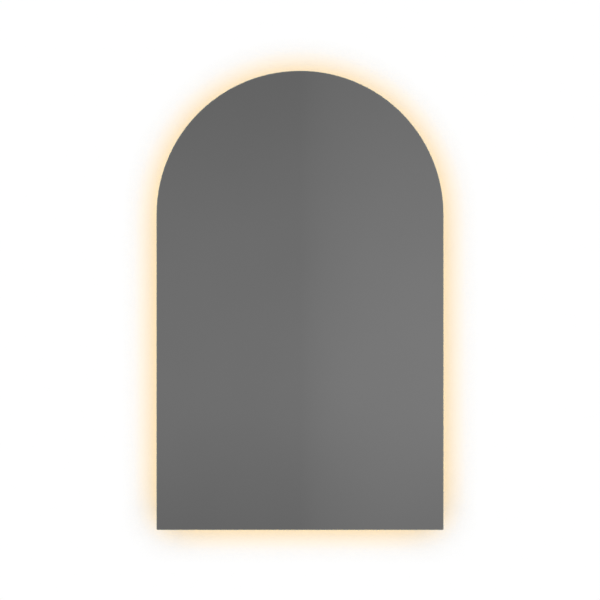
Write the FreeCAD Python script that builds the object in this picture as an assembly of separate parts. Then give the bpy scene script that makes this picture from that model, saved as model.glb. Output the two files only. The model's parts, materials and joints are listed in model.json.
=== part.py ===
import FreeCAD, Part
import math
import os

# Lighted bathroom mirror: an arched, frameless, back-lit glass that hooks on a wall rail.
# Millimetres. +Z is up, the mirror faces -Y and the wall is the plane y = 0.
# The origin is the middle of the wall rail's two screw slots, on the wall.

# Not sizes of the mirror: how far cutters pass a face, and how close counts as the same place
overrun = 1.0
touch = 1e-6

# Glass and what is bonded to its back
glass_width = 500.0
glass_height = 800.0
glass_thickness = 5.0
glass_arris = 0.8  # 45 degree bevel round both faces
glass_corner_radius = 2.0  # the two lower corners
glass_top_z = 320.0  # above the rail's screws
backing_thickness = 0.2  # silver, paint and safety film
backing_inset = 1.0
tape_thickness = 0.8
tape_width = 12.0

# Aluminium frame section: an outward channel for the light, and a tube behind it
frame_inset = 30.0  # from the glass edge to the frame's outer face
frame_depth = 32.0
frame_wall = 1.4
lip_thickness = 1.2
lip_height = 2.0
diffuser_thickness = 1.5
diffuser_clearance = 0.15
rib_thickness = 1.0
light_space = 2.5  # from the ribs to the channel floor
tube_width = 7.5
bumper_height = 2.0
bumper_radius = 5.0
bumper_from_corner = 70.0

# Corner keys inside the tube
key_clearance = 0.2
key_leg = 34.0
key_screw_reach = 22.0  # from the key's outer corner to its screws

# Light strip
strip_width = 10.0
strip_thickness = 0.3
strip_end_gap = 3.0
led_length = 3.5
led_width = 2.8
led_height = 0.8
led_pitch = 1000.0 / 60.0
leds_per_resistor = 3
resistor_length = 3.2
resistor_width = 1.6
resistor_height = 0.5
resistor_offset = 3.2  # sideways from the strip's middle
jumper_radius = 0.5
jumper_spacing = 4.0
jumper_overlap = 2.0  # how far a jumper runs onto each strip

# Wall rail and hanging bar, both folded from sheet
rail_sheet = 1.5
rail_length = 300.0
rail_flange_height = 28.0
rail_lip_height = 16.0
slot_spacing = 240.0
slot_length = 14.0
slot_width = 5.5
hook_clearance = 0.5  # on both faces of the hanging lip
hook_bottom_room = 2.0
bend_radius = 0.3  # inside of each fold
bar_web_height = 32.0
bar_front_clearance = 0.8
bar_end_clearance = 0.2
bar_tab_depth = 22.0
bar_tab_height = 24.0
rivet_radius = 1.6
rivet_head_radius = 3.2
rivet_head_height = 1.1
rivet_tail_radius = 2.3
rivet_tail_length = 2.4

# Service tray, a shallow sheet pan across the lower part of the frame
tray_sheet = 1.2
tray_height = 100.0
tray_above_glass_bottom = 130.0
tray_backing_gap = 1.4
tray_flange = 8.0
tray_end_clearance = 1.5
tray_tab_height = 20.0
tray_tab_depth = 20.0
tray_screw_tip = 3.0  # how far the tips stand into the tube

# Screws, all pan heads with a cross recess
screw_radius = 1.5
screw_head_radius = 2.9
screw_head_height = 1.8
recess_width = 0.8
recess_depth = 0.9
screw_hole_clearance = 0.25

# Junction box and its hinged cover
box_width = 92.0
box_height = 80.0
box_depth = 24.0
box_wall = 2.0
box_side_room = 30.0  # from the frame's inner side
boss_radius = 4.0
boss_inset = 6.5  # boss middle from the box's outside
box_screw_room = 2.0  # from the side walls to the screw heads
cover_thickness = 1.8
knuckle_radius = 2.2
knuckle_gap = 0.3
cover_knuckle_length = 36.0
fixed_knuckle_length = 14.0
pin_radius = 1.0
pin_clearance = 0.08
cover_screw_reach = 5.0
cover_screw_clearance = 0.45

# Supply cable entry and its clamp
cable_bore_radius = 3.7
cable_entry_x = 17.0  # from the box's left side
cable_entry_height = 13.0  # above the tray
grommet_wall = 1.6
grommet_flange = 1.8
grommet_flange_thickness = 2.0
clamp_length = 26.0
clamp_width = 8.0
clamp_corner_radius = 3.0
clamp_thickness = 2.5
clamp_screw_spacing = 18.0
clamp_post_radius = 3.4
clamp_screw_grip = 7.0  # thread in the post
clamp_above_entry = 14.0
clamp_squeeze = 0.3  # the closed clamp stands this much inside the cable's outside

# Lever terminals
pole_count = 3
pole_pitch = 10.0
terminal_wall = 2.0
terminal_length = 25.0
terminal_height = 9.5
terminal_flange = 7.0
terminal_flange_thickness = 2.5
terminal_offset_x = 5.0  # from the box's middle
wire_hole_radius = 1.8
wire_hole_height = 4.0
cage_floor = 1.4
cage_height = 3.6
cage_wall = 1.5
bar_thickness = 1.0
spring_thickness = 0.4
spring_end_room = 5.5  # from the cage's ends, free for the conductors
metal_clearance = 0.2
cage_side_wall = 1.0  # between a cage and the lever pocket's sides
wire_in_cage = 1.0  # how far a wire's cover stands in the cage
lever_length = 10.0
lever_thickness = 1.8
lever_hub_radius = 1.5
lever_side_clearance = 0.3
lever_from_right = 7.0
lever_sink = 0.4
lever_tip_lift = 1.0
trunnion_radius = 1.0
trunnion_length = 1.2
trunnion_clearance = 0.08

# Driver
driver_length = 150.0
driver_height = 44.0
driver_depth = 24.0
driver_base_depth = 18.0
driver_wall = 2.0
driver_side_room = 32.0  # from the frame's inner side
driver_lug = 10.0
driver_lug_thickness = 3.0
driver_lug_width = 14.0
driver_post_radius = 3.2
post_hole_floor = 1.0
head_clearance = 0.1
lid_chamfer = 0.8
lid_rim = 1.2
lid_rim_reach = 2.4  # into the base
lid_rim_clearance = 0.2
board_thickness = 1.6
board_clearance = 1.0
board_end_clearance = 2.0
board_stand = 2.0
transformer_length = 24.0
transformer_width = 22.0
transformer_height = 12.0
transformer_x = 0.52  # place along the board
bobbin_width = 12.0
bobbin_height = 10.0
bobbin_overhang = 3.0
bobbin_corner_radius = 1.5
capacitor_radius = 5.0
capacitor_height = 12.0
capacitor_edge_radius = 0.6
capacitor_places = (0.22, 0.34, 0.76)
coil_radius = 6.0
coil_bore_radius = 2.6
coil_height = 6.0
coil_edge_radius = 1.2
coil_x = 0.09
sink_thickness = 1.5
sink_length = 22.0
sink_height = 11.0
sink_x = 0.66
sink_fin_count = 4
sink_fin_depth = 3.0

# Leads
sheath_radius = 3.1
core_radius = 1.15
core_spacing = 2.8
dc_sheath_radius = 2.2
dc_core_radius = 0.7
dc_core_spacing = 1.8
lead_board_gap = 0.6  # between a lead's end and the driver's board
lead_bow = 5.0  # how far the sheathed lead dips to its clip
lead_clip_run = 22.0  # straight stretch through the clip
dc_feed_offset = 2.5  # from the strip's edge to the wires that feed it
dc_pad_inset = 2.0  # from the strip's edge to the ends of those wires
dc_hole_clearance = 0.5
dc_sheath_in_tube = 1.0
bush_wall = 1.2
bush_flange = 1.4
bush_flange_thickness = 1.5
bush_clearance = 0.1
sheath_end_inside = 8.0
clip_width = 8.0
clip_wall = 2.0
clip_clearance = 0.2
earth_stud_rise = 5.0  # above the box's lower end
earth_ring_radius = 3.6
earth_ring_thickness = 0.8
earth_barrel_length = 3.5
earth_exit_drop = 18.0  # below the leads

# Levels in depth, from the wall to the front of the glass
frame_back_y = -bumper_height
frame_front_y = frame_back_y - frame_depth
tape_front_y = frame_front_y - tape_thickness
backing_front_y = tape_front_y - backing_thickness
glass_front_y = backing_front_y - glass_thickness
tray_front_y = tape_front_y + tray_backing_gap
tray_back_y = tray_front_y + tray_sheet
channel_middle_y = (frame_back_y + frame_front_y) / 2

# Insets from the glass edge
diffuser_inset = frame_inset + lip_thickness + diffuser_clearance
rib_inset = diffuser_inset + diffuser_thickness + diffuser_clearance
floor_inset = rib_inset + rib_thickness + light_space
tube_inset = floor_inset + frame_wall
inner_inset = floor_inset + tube_width
cavity_inset = inner_inset - frame_wall

# Heights and half widths
half_width = glass_width / 2
glass_bottom_z = glass_top_z - glass_height
arch_centre_z = glass_top_z - half_width
inner_x = half_width - inner_inset
floor_x = half_width - floor_inset
floor_bottom_z = glass_bottom_z + floor_inset
inner_bottom_z = glass_bottom_z + inner_inset
tray_bottom_z = glass_bottom_z + tray_above_glass_bottom
tray_middle_z = tray_bottom_z + tray_height / 2
tray_top_z = tray_bottom_z + tray_height

# Screw holes
clear_radius = screw_radius + screw_hole_clearance
towards_glass = FreeCAD.Vector(0, -1, 0)

# Rail and bar levels
rail_top_of_fold_z = rail_flange_height / 2
hook_z = rail_top_of_fold_z + rail_lip_height
rail_gap = rail_sheet + 2 * hook_clearance
bar_web_y = -(rail_gap + rail_sheet + bar_front_clearance)

# Junction box and driver places
box_x0 = -inner_x + box_side_room
box_x1 = box_x0 + box_width
box_z0 = tray_middle_z - box_height / 2
box_z1 = box_z0 + box_height
box_rim_y = tray_back_y + box_depth
box_floor_y = tray_back_y + box_wall
entry_x = box_x0 + cable_entry_x
entry_y = tray_back_y + cable_entry_height
hinge_x = box_x0 - knuckle_radius - knuckle_gap
hinge_y = box_rim_y + cover_thickness / 2
driver_x1 = inner_x - driver_side_room
driver_x0 = driver_x1 - driver_length
driver_z0 = tray_middle_z - driver_height / 2
driver_z1 = driver_z0 + driver_height
driver_seam_y = tray_back_y + driver_base_depth
driver_back_y = tray_back_y + driver_depth
board_y = tray_back_y + driver_wall + board_stand
board_top_y = board_y + board_thickness
post_hole_y = tray_back_y + post_hole_floor
lid_screw_seat_y = driver_back_y - screw_head_height
lead_y = board_top_y + lead_board_gap + sheath_radius
dc_lead_y = board_top_y + lead_board_gap + dc_sheath_radius
dc_feed_y = channel_middle_y - strip_width / 2 - dc_feed_offset
dc_sheath_end_x = inner_x + frame_wall + dc_sheath_in_tube
lead_start_x = box_x1 - box_wall - sheath_end_inside
lead_end_x = driver_x0 + driver_wall + sheath_end_inside / 2

# Terminal places
terminal_x0 = (box_x0 + box_x1) / 2 + terminal_offset_x - terminal_length / 2
terminal_x1 = terminal_x0 + terminal_length
terminal_back_y = box_floor_y + terminal_height
terminal_half_height = (pole_count * pole_pitch + terminal_wall) / 2
wire_y = box_floor_y + wire_hole_height
wire_start_x = terminal_x1 - cage_wall - wire_in_cage
pocket_half_width = (pole_pitch - terminal_wall) / 2
cage_half_width = pocket_half_width - cage_side_wall
lever_x = terminal_x1 - lever_from_right
lever_y = terminal_back_y - lever_sink - lever_thickness / 2
pole_names = ("live", "neutral", "earth")


def vec(x, y, z):
    return FreeCAD.Vector(x, y, z)


def box(x_ends, y_ends, z_ends):
    """Block between two values on each axis, in either order."""
    low = vec(min(x_ends), min(y_ends), min(z_ends))
    high = vec(max(x_ends), max(y_ends), max(z_ends))
    size = high - low
    return Part.makeBox(size.x, size.y, size.z, low)


def rod(radius, start, end):
    """Round bar between two points."""
    along = end - start
    return Part.makeCylinder(radius, along.Length, start, along)


def rod_y(radius, x, z, y_ends):
    """Round bar along Y."""
    return rod(radius, vec(x, y_ends[0], z), vec(x, y_ends[1], z))


def hole_y(radius, x, z, y_ends):
    """Cutter for a round hole along Y that passes both of its ends, low end first."""
    return rod_y(radius, x, z, (y_ends[0] - overrun, y_ends[1] + overrun))


def rod_x(radius, y, z, x_ends):
    """Round bar along X."""
    return rod(radius, vec(x_ends[0], y, z), vec(x_ends[1], y, z))


def hole_x(radius, y, z, x_ends):
    """Cutter for a round hole along X that passes both of its ends, low end first."""
    return rod_x(radius, y, z, (x_ends[0] - overrun, x_ends[1] + overrun))


def rod_z(radius, x, y, z_ends):
    """Round bar along Z."""
    return rod(radius, vec(x, y, z_ends[0]), vec(x, y, z_ends[1]))


def hole_z(radius, x, y, z_ends):
    """Cutter for a round hole along Z that passes both of its ends, low end first."""
    return rod_z(radius, x, y, (z_ends[0] - overrun, z_ends[1] + overrun))


def prism(points, travel):
    """Flat polygon carried along a vector."""
    outline = Part.makePolygon(points + [points[0]])
    return Part.Face(outline).extrude(travel)


def joined(shapes):
    whole = shapes[0].multiFuse(shapes[1:]).removeSplitter()
    return whole.Solids[0] if len(whole.Solids) == 1 else whole


def less(shape, cutters):
    rest = shape.cut(cutters)
    return rest.Solids[0] if len(rest.Solids) == 1 else rest


def along_y(shape, length):
    """The edges of a shape that run along Y for at least a length."""
    return [edge for edge in shape.Edges if edge.BoundBox.YLength > length - touch]


def group(shapes):
    return Part.makeCompound(shapes)


def aimed(shape, position, direction):
    """A shape built along +Z from the origin, set at a place and turned along a direction."""
    turned = shape.copy()
    turned.Placement = FreeCAD.Placement(position, FreeCAD.Rotation(vec(0, 0, 1), direction))
    return turned


def screw(position, direction, length, radius=screw_radius, head_radius=screw_head_radius):
    """Pan head screw. Its head stands on position and its shank runs along direction."""
    head = Part.makeCylinder(head_radius, screw_head_height, vec(0, 0, -screw_head_height))
    rim = [edge for edge in head.Edges if abs(edge.BoundBox.ZMax + screw_head_height) < touch]
    head = head.makeFillet(screw_head_height * 0.45, rim)
    half = head_radius * 0.6
    top = -screw_head_height
    bar = Part.makeBox(2 * half, recess_width, recess_depth, vec(-half, -recess_width / 2, top))
    cross = Part.makeBox(recess_width, 2 * half, recess_depth, vec(-recess_width / 2, -half, top))
    shank = Part.makeCylinder(radius, length)
    return aimed(less(joined([head, shank]), [bar, cross]), position, direction)


def bush(position, direction, wall, bore, neck_wall, flange, flange_thickness):
    """Rubber ring gripping a wall. The wall starts at position and runs along direction."""
    neck = Part.makeCylinder(bore + neck_wall, wall)
    rim = bore + neck_wall + flange
    near = Part.makeCylinder(rim, flange_thickness, vec(0, 0, -flange_thickness))
    far = Part.makeCylinder(rim, flange_thickness, vec(0, 0, wall))
    whole = joined([neck, near, far])
    outer = [edge for edge in whole.Edges if abs(edge.Length - 2 * math.pi * rim) < 0.01]
    whole = whole.makeFillet(flange_thickness * 0.3, outer)
    hole = Part.makeCylinder(bore, wall + 3 * flange_thickness, vec(0, 0, -1.5 * flange_thickness))
    return aimed(less(whole, [hole]), position, direction)


def lead_bush(position, direction, wall, lead_radius):
    bore = lead_radius + bush_clearance
    return bush(position, direction, wall, bore, bush_wall, bush_flange, bush_flange_thickness)


def bush_hole(lead_radius):
    return lead_radius + bush_clearance + bush_wall


def smooth_path(points, share=0.45):
    """Straight runs joined by tangent arcs, each as wide as its two runs allow."""
    edges = []
    radii = []
    start = points[0]
    for before, corner, after in zip(points, points[1:], points[2:]):
        into = corner - before
        out = after - corner
        reach = share * min(into.Length, out.Length)
        half_turn = into.getAngle(out) / 2
        into.normalize()
        out.normalize()
        radius = reach / math.tan(half_turn)
        inward = out - into
        inward.normalize()
        middle = corner + inward * (radius / math.cos(half_turn) - radius)
        arc_start = corner - into * reach
        arc_end = corner + out * reach
        edges.append(Part.LineSegment(start, arc_start).toShape())
        edges.append(Part.Arc(arc_start, middle, arc_end).toShape())
        radii.append(radius)
        start = arc_end
    edges.append(Part.LineSegment(start, points[-1]).toShape())
    return Part.Wire(edges), radii


def lead(name, radius, points):
    """Round lead along a hand-chosen route. Prints its tightest bend."""
    path, radii = smooth_path(points)
    section = Part.Wire(Part.makeCircle(radius, points[0], points[1] - points[0]))
    tube = path.makePipeShell([section], True, False)
    volume_ratio = tube.Volume / (math.pi * radius**2 * path.Length)
    tightest = min(radii) if radii else float("inf")
    print(f"{name}: radius {radius}, tightest bend {tightest:.1f}, volume ratio {volume_ratio:.4f}")
    return tube


# Arched outlines, all parallel to the glass edge


def arch_outline(inset, y, corner_radius=0.0):
    """Closed outline at depth y: half circle above, straight sides and a straight bottom."""
    half = half_width - inset
    bottom = glass_bottom_z + inset
    low_right = vec(half, y, bottom)
    low_left = vec(-half, y, bottom)
    spring_right = vec(half, y, arch_centre_z)
    spring_left = vec(-half, y, arch_centre_z)
    crown = vec(0, y, arch_centre_z + half)
    arch = Part.Arc(spring_right, crown, spring_left).toShape()
    if corner_radius == 0.0:
        straight = Part.makePolygon([spring_left, low_left, low_right, spring_right])
        return Part.Wire([arch] + straight.Edges)
    edges = [arch]
    side_end = vec(-half, y, bottom + corner_radius)
    edges.append(Part.LineSegment(spring_left, side_end).toShape())
    inset_corner = corner_radius * (1 - math.sqrt(0.5))
    corner_middle = vec(-half + inset_corner, y, bottom + inset_corner)
    floor_start = vec(-half + corner_radius, y, bottom)
    edges.append(Part.Arc(side_end, corner_middle, floor_start).toShape())
    floor_end = vec(half - corner_radius, y, bottom)
    edges.append(Part.LineSegment(floor_start, floor_end).toShape())
    corner_middle = vec(half - inset_corner, y, bottom + inset_corner)
    side_start = vec(half, y, bottom + corner_radius)
    edges.append(Part.Arc(floor_end, corner_middle, side_start).toShape())
    edges.append(Part.LineSegment(side_start, spring_right).toShape())
    return Part.Wire(edges)


def arch_plate(inset, y_ends, corner_radius=0.0):
    low, high = min(y_ends), max(y_ends)
    face = Part.Face(arch_outline(inset, low, corner_radius))
    return face.extrude(vec(0, high - low, 0))


def arch_ring(outer_inset, ring_inner_inset, y_ends):
    return arch_plate(outer_inset, y_ends).cut(arch_plate(ring_inner_inset, y_ends))


def mitre_wedge():
    """The space of the bottom rail: a triangle whose sides are the 45 degree mitres."""
    reach = half_width + overrun
    low = glass_bottom_z - overrun
    y = glass_front_y - overrun
    points = [vec(-reach, y, low), vec(reach, y, low), vec(0, y, low + reach)]
    return prism(points, vec(0, -2 * y, 0))


def point_on_arch_run(distance, inset):
    """Place and outward angle at a distance from the lower right corner, going up and over."""
    radius = half_width - inset
    leg = arch_centre_z - (glass_bottom_z + inset)
    if distance < leg:
        return radius, glass_bottom_z + inset + distance, 0.0
    angle = (distance - leg) / radius
    if angle < math.pi:
        return radius * math.cos(angle), arch_centre_z + radius * math.sin(angle), angle
    return -radius, arch_centre_z - (distance - leg - math.pi * radius), math.pi


def arch_run_length(inset):
    leg = arch_centre_z - (glass_bottom_z + inset)
    return 2 * leg + math.pi * (half_width - inset)


def bottom_run_length(inset):
    return 2 * (half_width - inset)


def on_channel_floor(shape, x, z, angle):
    """A shape built with +X outward, set on the channel floor."""
    turned = shape.copy()
    turn = FreeCAD.Rotation(vec(0, 1, 0), -math.degrees(angle))
    turned.Placement = FreeCAD.Placement(vec(x, channel_middle_y, z), turn)
    return turned


def led_stations():
    """Place and angle of every light along both strips, centred on each strip."""
    stations = []
    arch_length = arch_run_length(floor_inset)
    usable = arch_length - 2 * (strip_end_gap + led_length)
    count = int(usable // led_pitch) + 1
    first = (arch_length - (count - 1) * led_pitch) / 2
    for index in range(count):
        stations.append(point_on_arch_run(first + index * led_pitch, floor_inset))
    usable = bottom_run_length(floor_inset) - 2 * (strip_end_gap + led_length)
    count = int(usable // led_pitch) + 1
    first = -(count - 1) * led_pitch / 2
    for index in range(count):
        stations.append((first + index * led_pitch, floor_bottom_z, -math.pi / 2))
    return stations


def resistor_stations():
    """One resistor for each group of lights. It lies beside them, off the strip's middle."""
    stations = []
    arch_length = arch_run_length(floor_inset)
    spacing = led_pitch * leds_per_resistor
    count = int((arch_length - 2 * led_pitch) // spacing)
    first = (arch_length - (count - 1) * spacing) / 2 + led_pitch / 2
    for index in range(count):
        stations.append(point_on_arch_run(first + index * spacing, floor_inset))
    count = int((bottom_run_length(floor_inset) - 2 * led_pitch) // spacing)
    first = -(count - 1) * spacing / 2 + led_pitch / 2
    for index in range(count):
        stations.append((first + index * spacing, floor_bottom_z, -math.pi / 2))
    return stations


# Glass and bonding


def mirror_glass():
    plate = arch_plate(0.0, (glass_front_y, backing_front_y), glass_corner_radius)
    faces = (glass_front_y, backing_front_y)
    rims = []
    for edge in plate.Edges:
        bounds = edge.BoundBox
        if bounds.YLength < touch and min(abs(bounds.YMin - y) for y in faces) < touch:
            rims.append(edge)
    return plate.makeChamfer(glass_arris, rims)


def mirror_backing():
    return arch_plate(backing_inset, (backing_front_y, tape_front_y), glass_corner_radius)


def bonding_tape():
    start = frame_inset + (inner_inset - frame_inset - tape_width) / 2
    return arch_ring(start, start + tape_width, (tape_front_y, frame_front_y)).Solids[0]


# Frame


def channel_lips(inset, thickness):
    """The pair of low ridges, front and back, at one inset."""
    reach = frame_wall + lip_height
    front = arch_ring(inset, inset + thickness, (frame_front_y, frame_front_y + reach))
    back = arch_ring(inset, inset + thickness, (frame_back_y - reach, frame_back_y))
    return [front, back]


def frame_section_ring():
    """The whole extrusion all round, before the mitres are cut."""
    depth = (frame_front_y, frame_back_y)
    front_wall = (frame_front_y, frame_front_y + frame_wall)
    back_wall = (frame_back_y - frame_wall, frame_back_y)
    parts = [arch_ring(frame_inset, inner_inset, front_wall)]
    parts.append(arch_ring(frame_inset, inner_inset, back_wall))
    parts.append(arch_ring(floor_inset, tube_inset, depth))
    parts.append(arch_ring(cavity_inset, inner_inset, depth))
    parts += channel_lips(frame_inset, lip_thickness)
    parts += channel_lips(rib_inset, rib_thickness)
    return joined(parts)


def side_hole(side, radius, y, z, from_inset, to_inset):
    """Cutter across a leg's walls, side is +1 for the right leg and -1 for the left."""
    start = vec(side * (half_width - from_inset), y, z)
    end = vec(side * (half_width - to_inset), y, z)
    return rod(radius, start, end)


def bar_rivet_places():
    """Depth and height of the rivets in each end of the hanging bar."""
    z = hook_z + rail_sheet + bar_web_height / 2
    step = bar_tab_depth / 4
    middle = bar_web_y - rail_sheet - bar_tab_depth / 2
    return [(middle - step, z), (middle + step, z)]


def tray_screw_places():
    y = tray_back_y + tray_tab_depth / 2
    inset = tray_flange + tray_tab_height / 2
    return [(y, tray_bottom_z + inset), (y, tray_top_z - inset)]


def key_screw_places():
    """Distance of the corner key screws from the cavity's outer corner, and their depth."""
    return key_screw_reach, channel_middle_y


def frame_arch():
    ring = frame_section_ring().cut(mitre_wedge())
    cutters = []
    reach, key_y = key_screw_places()
    key_z = glass_bottom_z + tube_inset + reach
    past = inner_inset + overrun
    into_tube = cavity_inset - overrun
    for side in (-1, 1):
        for y, z in bar_rivet_places():
            cutters.append(side_hole(side, rivet_radius, y, z, past, into_tube))
        for y, z in tray_screw_places():
            cutters.append(side_hole(side, screw_radius, y, z, past, into_tube))
            cutters.append(side_hole(side, clear_radius, key_y, key_z, past, into_tube))
    bush_radius = bush_hole(dc_sheath_radius)
    cutters.append(side_hole(1, bush_radius, dc_feed_y, tray_middle_z, past, into_tube))
    core_hole = dc_core_radius + dc_hole_clearance
    for core_y, core_z in dc_core_places():
        cutters.append(side_hole(1, core_hole, core_y, core_z, tube_inset + overrun, rib_inset))
    return less(ring, cutters)


def frame_bottom():
    rail = frame_section_ring().common(mitre_wedge())
    reach, key_y = key_screw_places()
    key_x = half_width - tube_inset - reach
    cutters = []
    for side in (-1, 1):
        wall_z = (inner_bottom_z - frame_wall, inner_bottom_z)
        cutters.append(hole_z(clear_radius, side * key_x, key_y, wall_z))
    return less(rail, cutters)


def corner_keys():
    """Cast angle pieces that fill the tube round both lower corners."""
    outer_inset = tube_inset + key_clearance
    key_inner_inset = cavity_inset - key_clearance
    y_ends = (frame_front_y + frame_wall + key_clearance, frame_back_y - frame_wall - key_clearance)
    ring = arch_ring(outer_inset, key_inner_inset, y_ends)
    corner_x = half_width - outer_inset
    corner_z = glass_bottom_z + outer_inset
    reach, key_y = key_screw_places()
    keys = []
    for side in (-1, 1):
        x_ends = (side * (corner_x + overrun), side * (corner_x - key_leg))
        key = ring.common(box(x_ends, y_ends, (corner_z - overrun, corner_z + key_leg)))
        screw_z = glass_bottom_z + tube_inset + reach
        screw_x = side * (half_width - tube_inset - reach)
        leg_hole = side_hole(side, screw_radius, key_y, screw_z, inner_inset, tube_inset)
        tube_z = (glass_bottom_z + tube_inset, inner_bottom_z)
        floor_hole = rod_z(screw_radius, screw_x, key_y, tube_z)
        keys.append(less(key, [leg_hole, floor_hole]))
    return group(keys)


def corner_screws():
    reach, key_y = key_screw_places()
    length = inner_inset - tube_inset - key_clearance
    screws = []
    for side in (-1, 1):
        leg_place = vec(side * inner_x, key_y, glass_bottom_z + tube_inset + reach)
        screws.append(screw(leg_place, vec(side, 0, 0), length))
        floor_place = vec(side * (half_width - tube_inset - reach), key_y, inner_bottom_z)
        screws.append(screw(floor_place, vec(0, 0, -1), length))
    return group(screws)


def wall_bumpers():
    places = []
    middle_inset = (frame_inset + inner_inset) / 2
    for side in (-1, 1):
        places.append((side * (half_width - middle_inset), arch_centre_z))
        places.append((side * (half_width - bumper_from_corner), glass_bottom_z + middle_inset))
    pads = []
    for x, z in places:
        pad = rod_y(bumper_radius, x, z, (frame_back_y, 0))
        rim = [edge for edge in pad.Edges if edge.BoundBox.YMin > -touch]
        pads.append(pad.makeFillet(bumper_height * 0.3, rim))
    return group(pads)


# Light


def diffuser_ring():
    reach = frame_wall + diffuser_clearance
    y_ends = (frame_front_y + reach, frame_back_y - reach)
    return arch_ring(diffuser_inset, diffuser_inset + diffuser_thickness, y_ends)


def diffuser_arch():
    return diffuser_ring().cut(mitre_wedge()).Solids[0]


def diffuser_bottom():
    return diffuser_ring().common(mitre_wedge()).Solids[0]


def strip_ring():
    y_ends = (channel_middle_y - strip_width / 2, channel_middle_y + strip_width / 2)
    return arch_ring(floor_inset - strip_thickness, floor_inset, y_ends)


def led_strip_arch():
    low = glass_bottom_z
    corner = box((-half_width, half_width), (glass_front_y, 0), (low, floor_bottom_z + strip_end_gap))
    return strip_ring().cut(corner).Solids[0]


def led_strip_bottom():
    half = floor_x - strip_end_gap
    return strip_ring().common(box((-half, half), (glass_front_y, 0), (glass_bottom_z, floor_bottom_z)))


def leds():
    chip = Part.makeBox(
        led_height, led_width, led_length, vec(strip_thickness, -led_width / 2, -led_length / 2)
    )
    return group([on_channel_floor(chip, *station) for station in led_stations()])


def strip_resistors():
    side = resistor_offset - resistor_width / 2
    corner = vec(strip_thickness, side, -resistor_length / 2)
    chip = Part.makeBox(resistor_height, resistor_width, resistor_length, corner)
    return group([on_channel_floor(chip, *station) for station in resistor_stations()])


def strip_jumpers():
    """Two short wires that carry the current round each lower corner."""
    out = strip_thickness + jumper_radius
    straight = strip_end_gap + jumper_overlap
    wires = []
    for side in (-1, 1):
        corner_x = side * floor_x
        for shift in (-jumper_spacing / 2, jumper_spacing / 2):
            y = channel_middle_y + shift
            top = vec(corner_x + side * out, y, floor_bottom_z + straight)
            turn_top = vec(corner_x + side * out, y, floor_bottom_z)
            turn_low = vec(corner_x, y, floor_bottom_z - out)
            end = vec(corner_x - side * straight, y, floor_bottom_z - out)
            diagonal = out * math.sqrt(0.5)
            middle = vec(corner_x + side * diagonal, y, floor_bottom_z - diagonal)
            edges = [Part.LineSegment(top, turn_top).toShape()]
            edges.append(Part.Arc(turn_top, middle, turn_low).toShape())
            edges.append(Part.LineSegment(turn_low, end).toShape())
            section = Part.Wire(Part.makeCircle(jumper_radius, top, turn_top - top))
            wires.append(Part.Wire(edges).makePipeShell([section], True, False))
    return group(wires)


# Hanging


def folded_sheet(points, inner_corners, outer_corners, x_ends):
    """Sheet section in the (y, z) plane carried along X, with its folds rounded."""
    start = min(x_ends)
    outline = [vec(start, y, z) for y, z in points]
    sheet = prism(outline, vec(max(x_ends) - start, 0, 0))
    for corners, radius in ((inner_corners, bend_radius), (outer_corners, bend_radius + rail_sheet)):
        folds = []
        for edge in sheet.Edges:
            middle = edge.CenterOfMass
            near = [c for c in corners if math.hypot(middle.y - c[0], middle.z - c[1]) < 1e-4]
            if near and edge.BoundBox.XLength > rail_sheet:
                folds.append(edge)
        sheet = sheet.makeFillet(radius, folds)
    return sheet


def slot_cutter(x):
    """Lying slot through the rail's flange, centred on z = 0."""
    radius = slot_width / 2
    half = slot_length / 2 - radius
    y_ends = (-rail_sheet - overrun, overrun)
    middle = box((x - half, x + half), y_ends, (-radius, radius))
    ends = []
    for side in (-half, half):
        ends.append(rod_y(radius, x + side, 0, y_ends))
    return joined([middle] + ends)


def wall_rail():
    fold_top = rail_top_of_fold_z
    fold_low = fold_top - rail_sheet
    lip_front = -(rail_gap + rail_sheet)
    points = [(0, -rail_flange_height / 2), (0, fold_top), (-rail_gap, fold_top)]
    points += [(-rail_gap, hook_z), (lip_front, hook_z), (lip_front, fold_low)]
    points += [(-rail_sheet, fold_low), (-rail_sheet, -rail_flange_height / 2)]
    inner = [(-rail_gap, fold_top), (-rail_sheet, fold_low)]
    outer = [(0, fold_top), (lip_front, fold_low)]
    half = rail_length / 2
    rail = folded_sheet(points, inner, outer, (-half, half))
    slots = [slot_cutter(side * slot_spacing / 2) for side in (-1, 1)]
    return less(rail, slots)


def hanging_bar():
    lip_back = -hook_clearance
    lip_front = lip_back - rail_sheet
    lip_bottom = rail_top_of_fold_z + hook_bottom_room
    web_front = bar_web_y - rail_sheet
    fold_top = hook_z + rail_sheet
    web_top = hook_z + bar_web_height
    points = [(lip_back, lip_bottom), (lip_back, fold_top), (bar_web_y, fold_top)]
    points += [(bar_web_y, web_top), (web_front, web_top), (web_front, hook_z)]
    points += [(lip_front, hook_z), (lip_front, lip_bottom)]
    inner = [(bar_web_y, fold_top), (lip_front, hook_z)]
    outer = [(lip_back, fold_top), (web_front, hook_z)]
    half = inner_x - bar_end_clearance
    bar = folded_sheet(points, inner, outer, (-half, half))
    rivet_z = bar_rivet_places()[0][1]
    tab_z = (rivet_z - bar_tab_height / 2, rivet_z + bar_tab_height / 2)
    shapes = [bar]
    cutters = []
    for side in (-1, 1):
        x_ends = (side * inner_x, side * (inner_x - rail_sheet))
        shapes.append(box(x_ends, (bar_web_y, web_front - bar_tab_depth), tab_z))
        for y, z in bar_rivet_places():
            tab_insets = (inner_inset, inner_inset + 2 * rail_sheet)
            cutters.append(side_hole(side, rivet_radius, y, z, *tab_insets))
    return less(joined(shapes), cutters)


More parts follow.
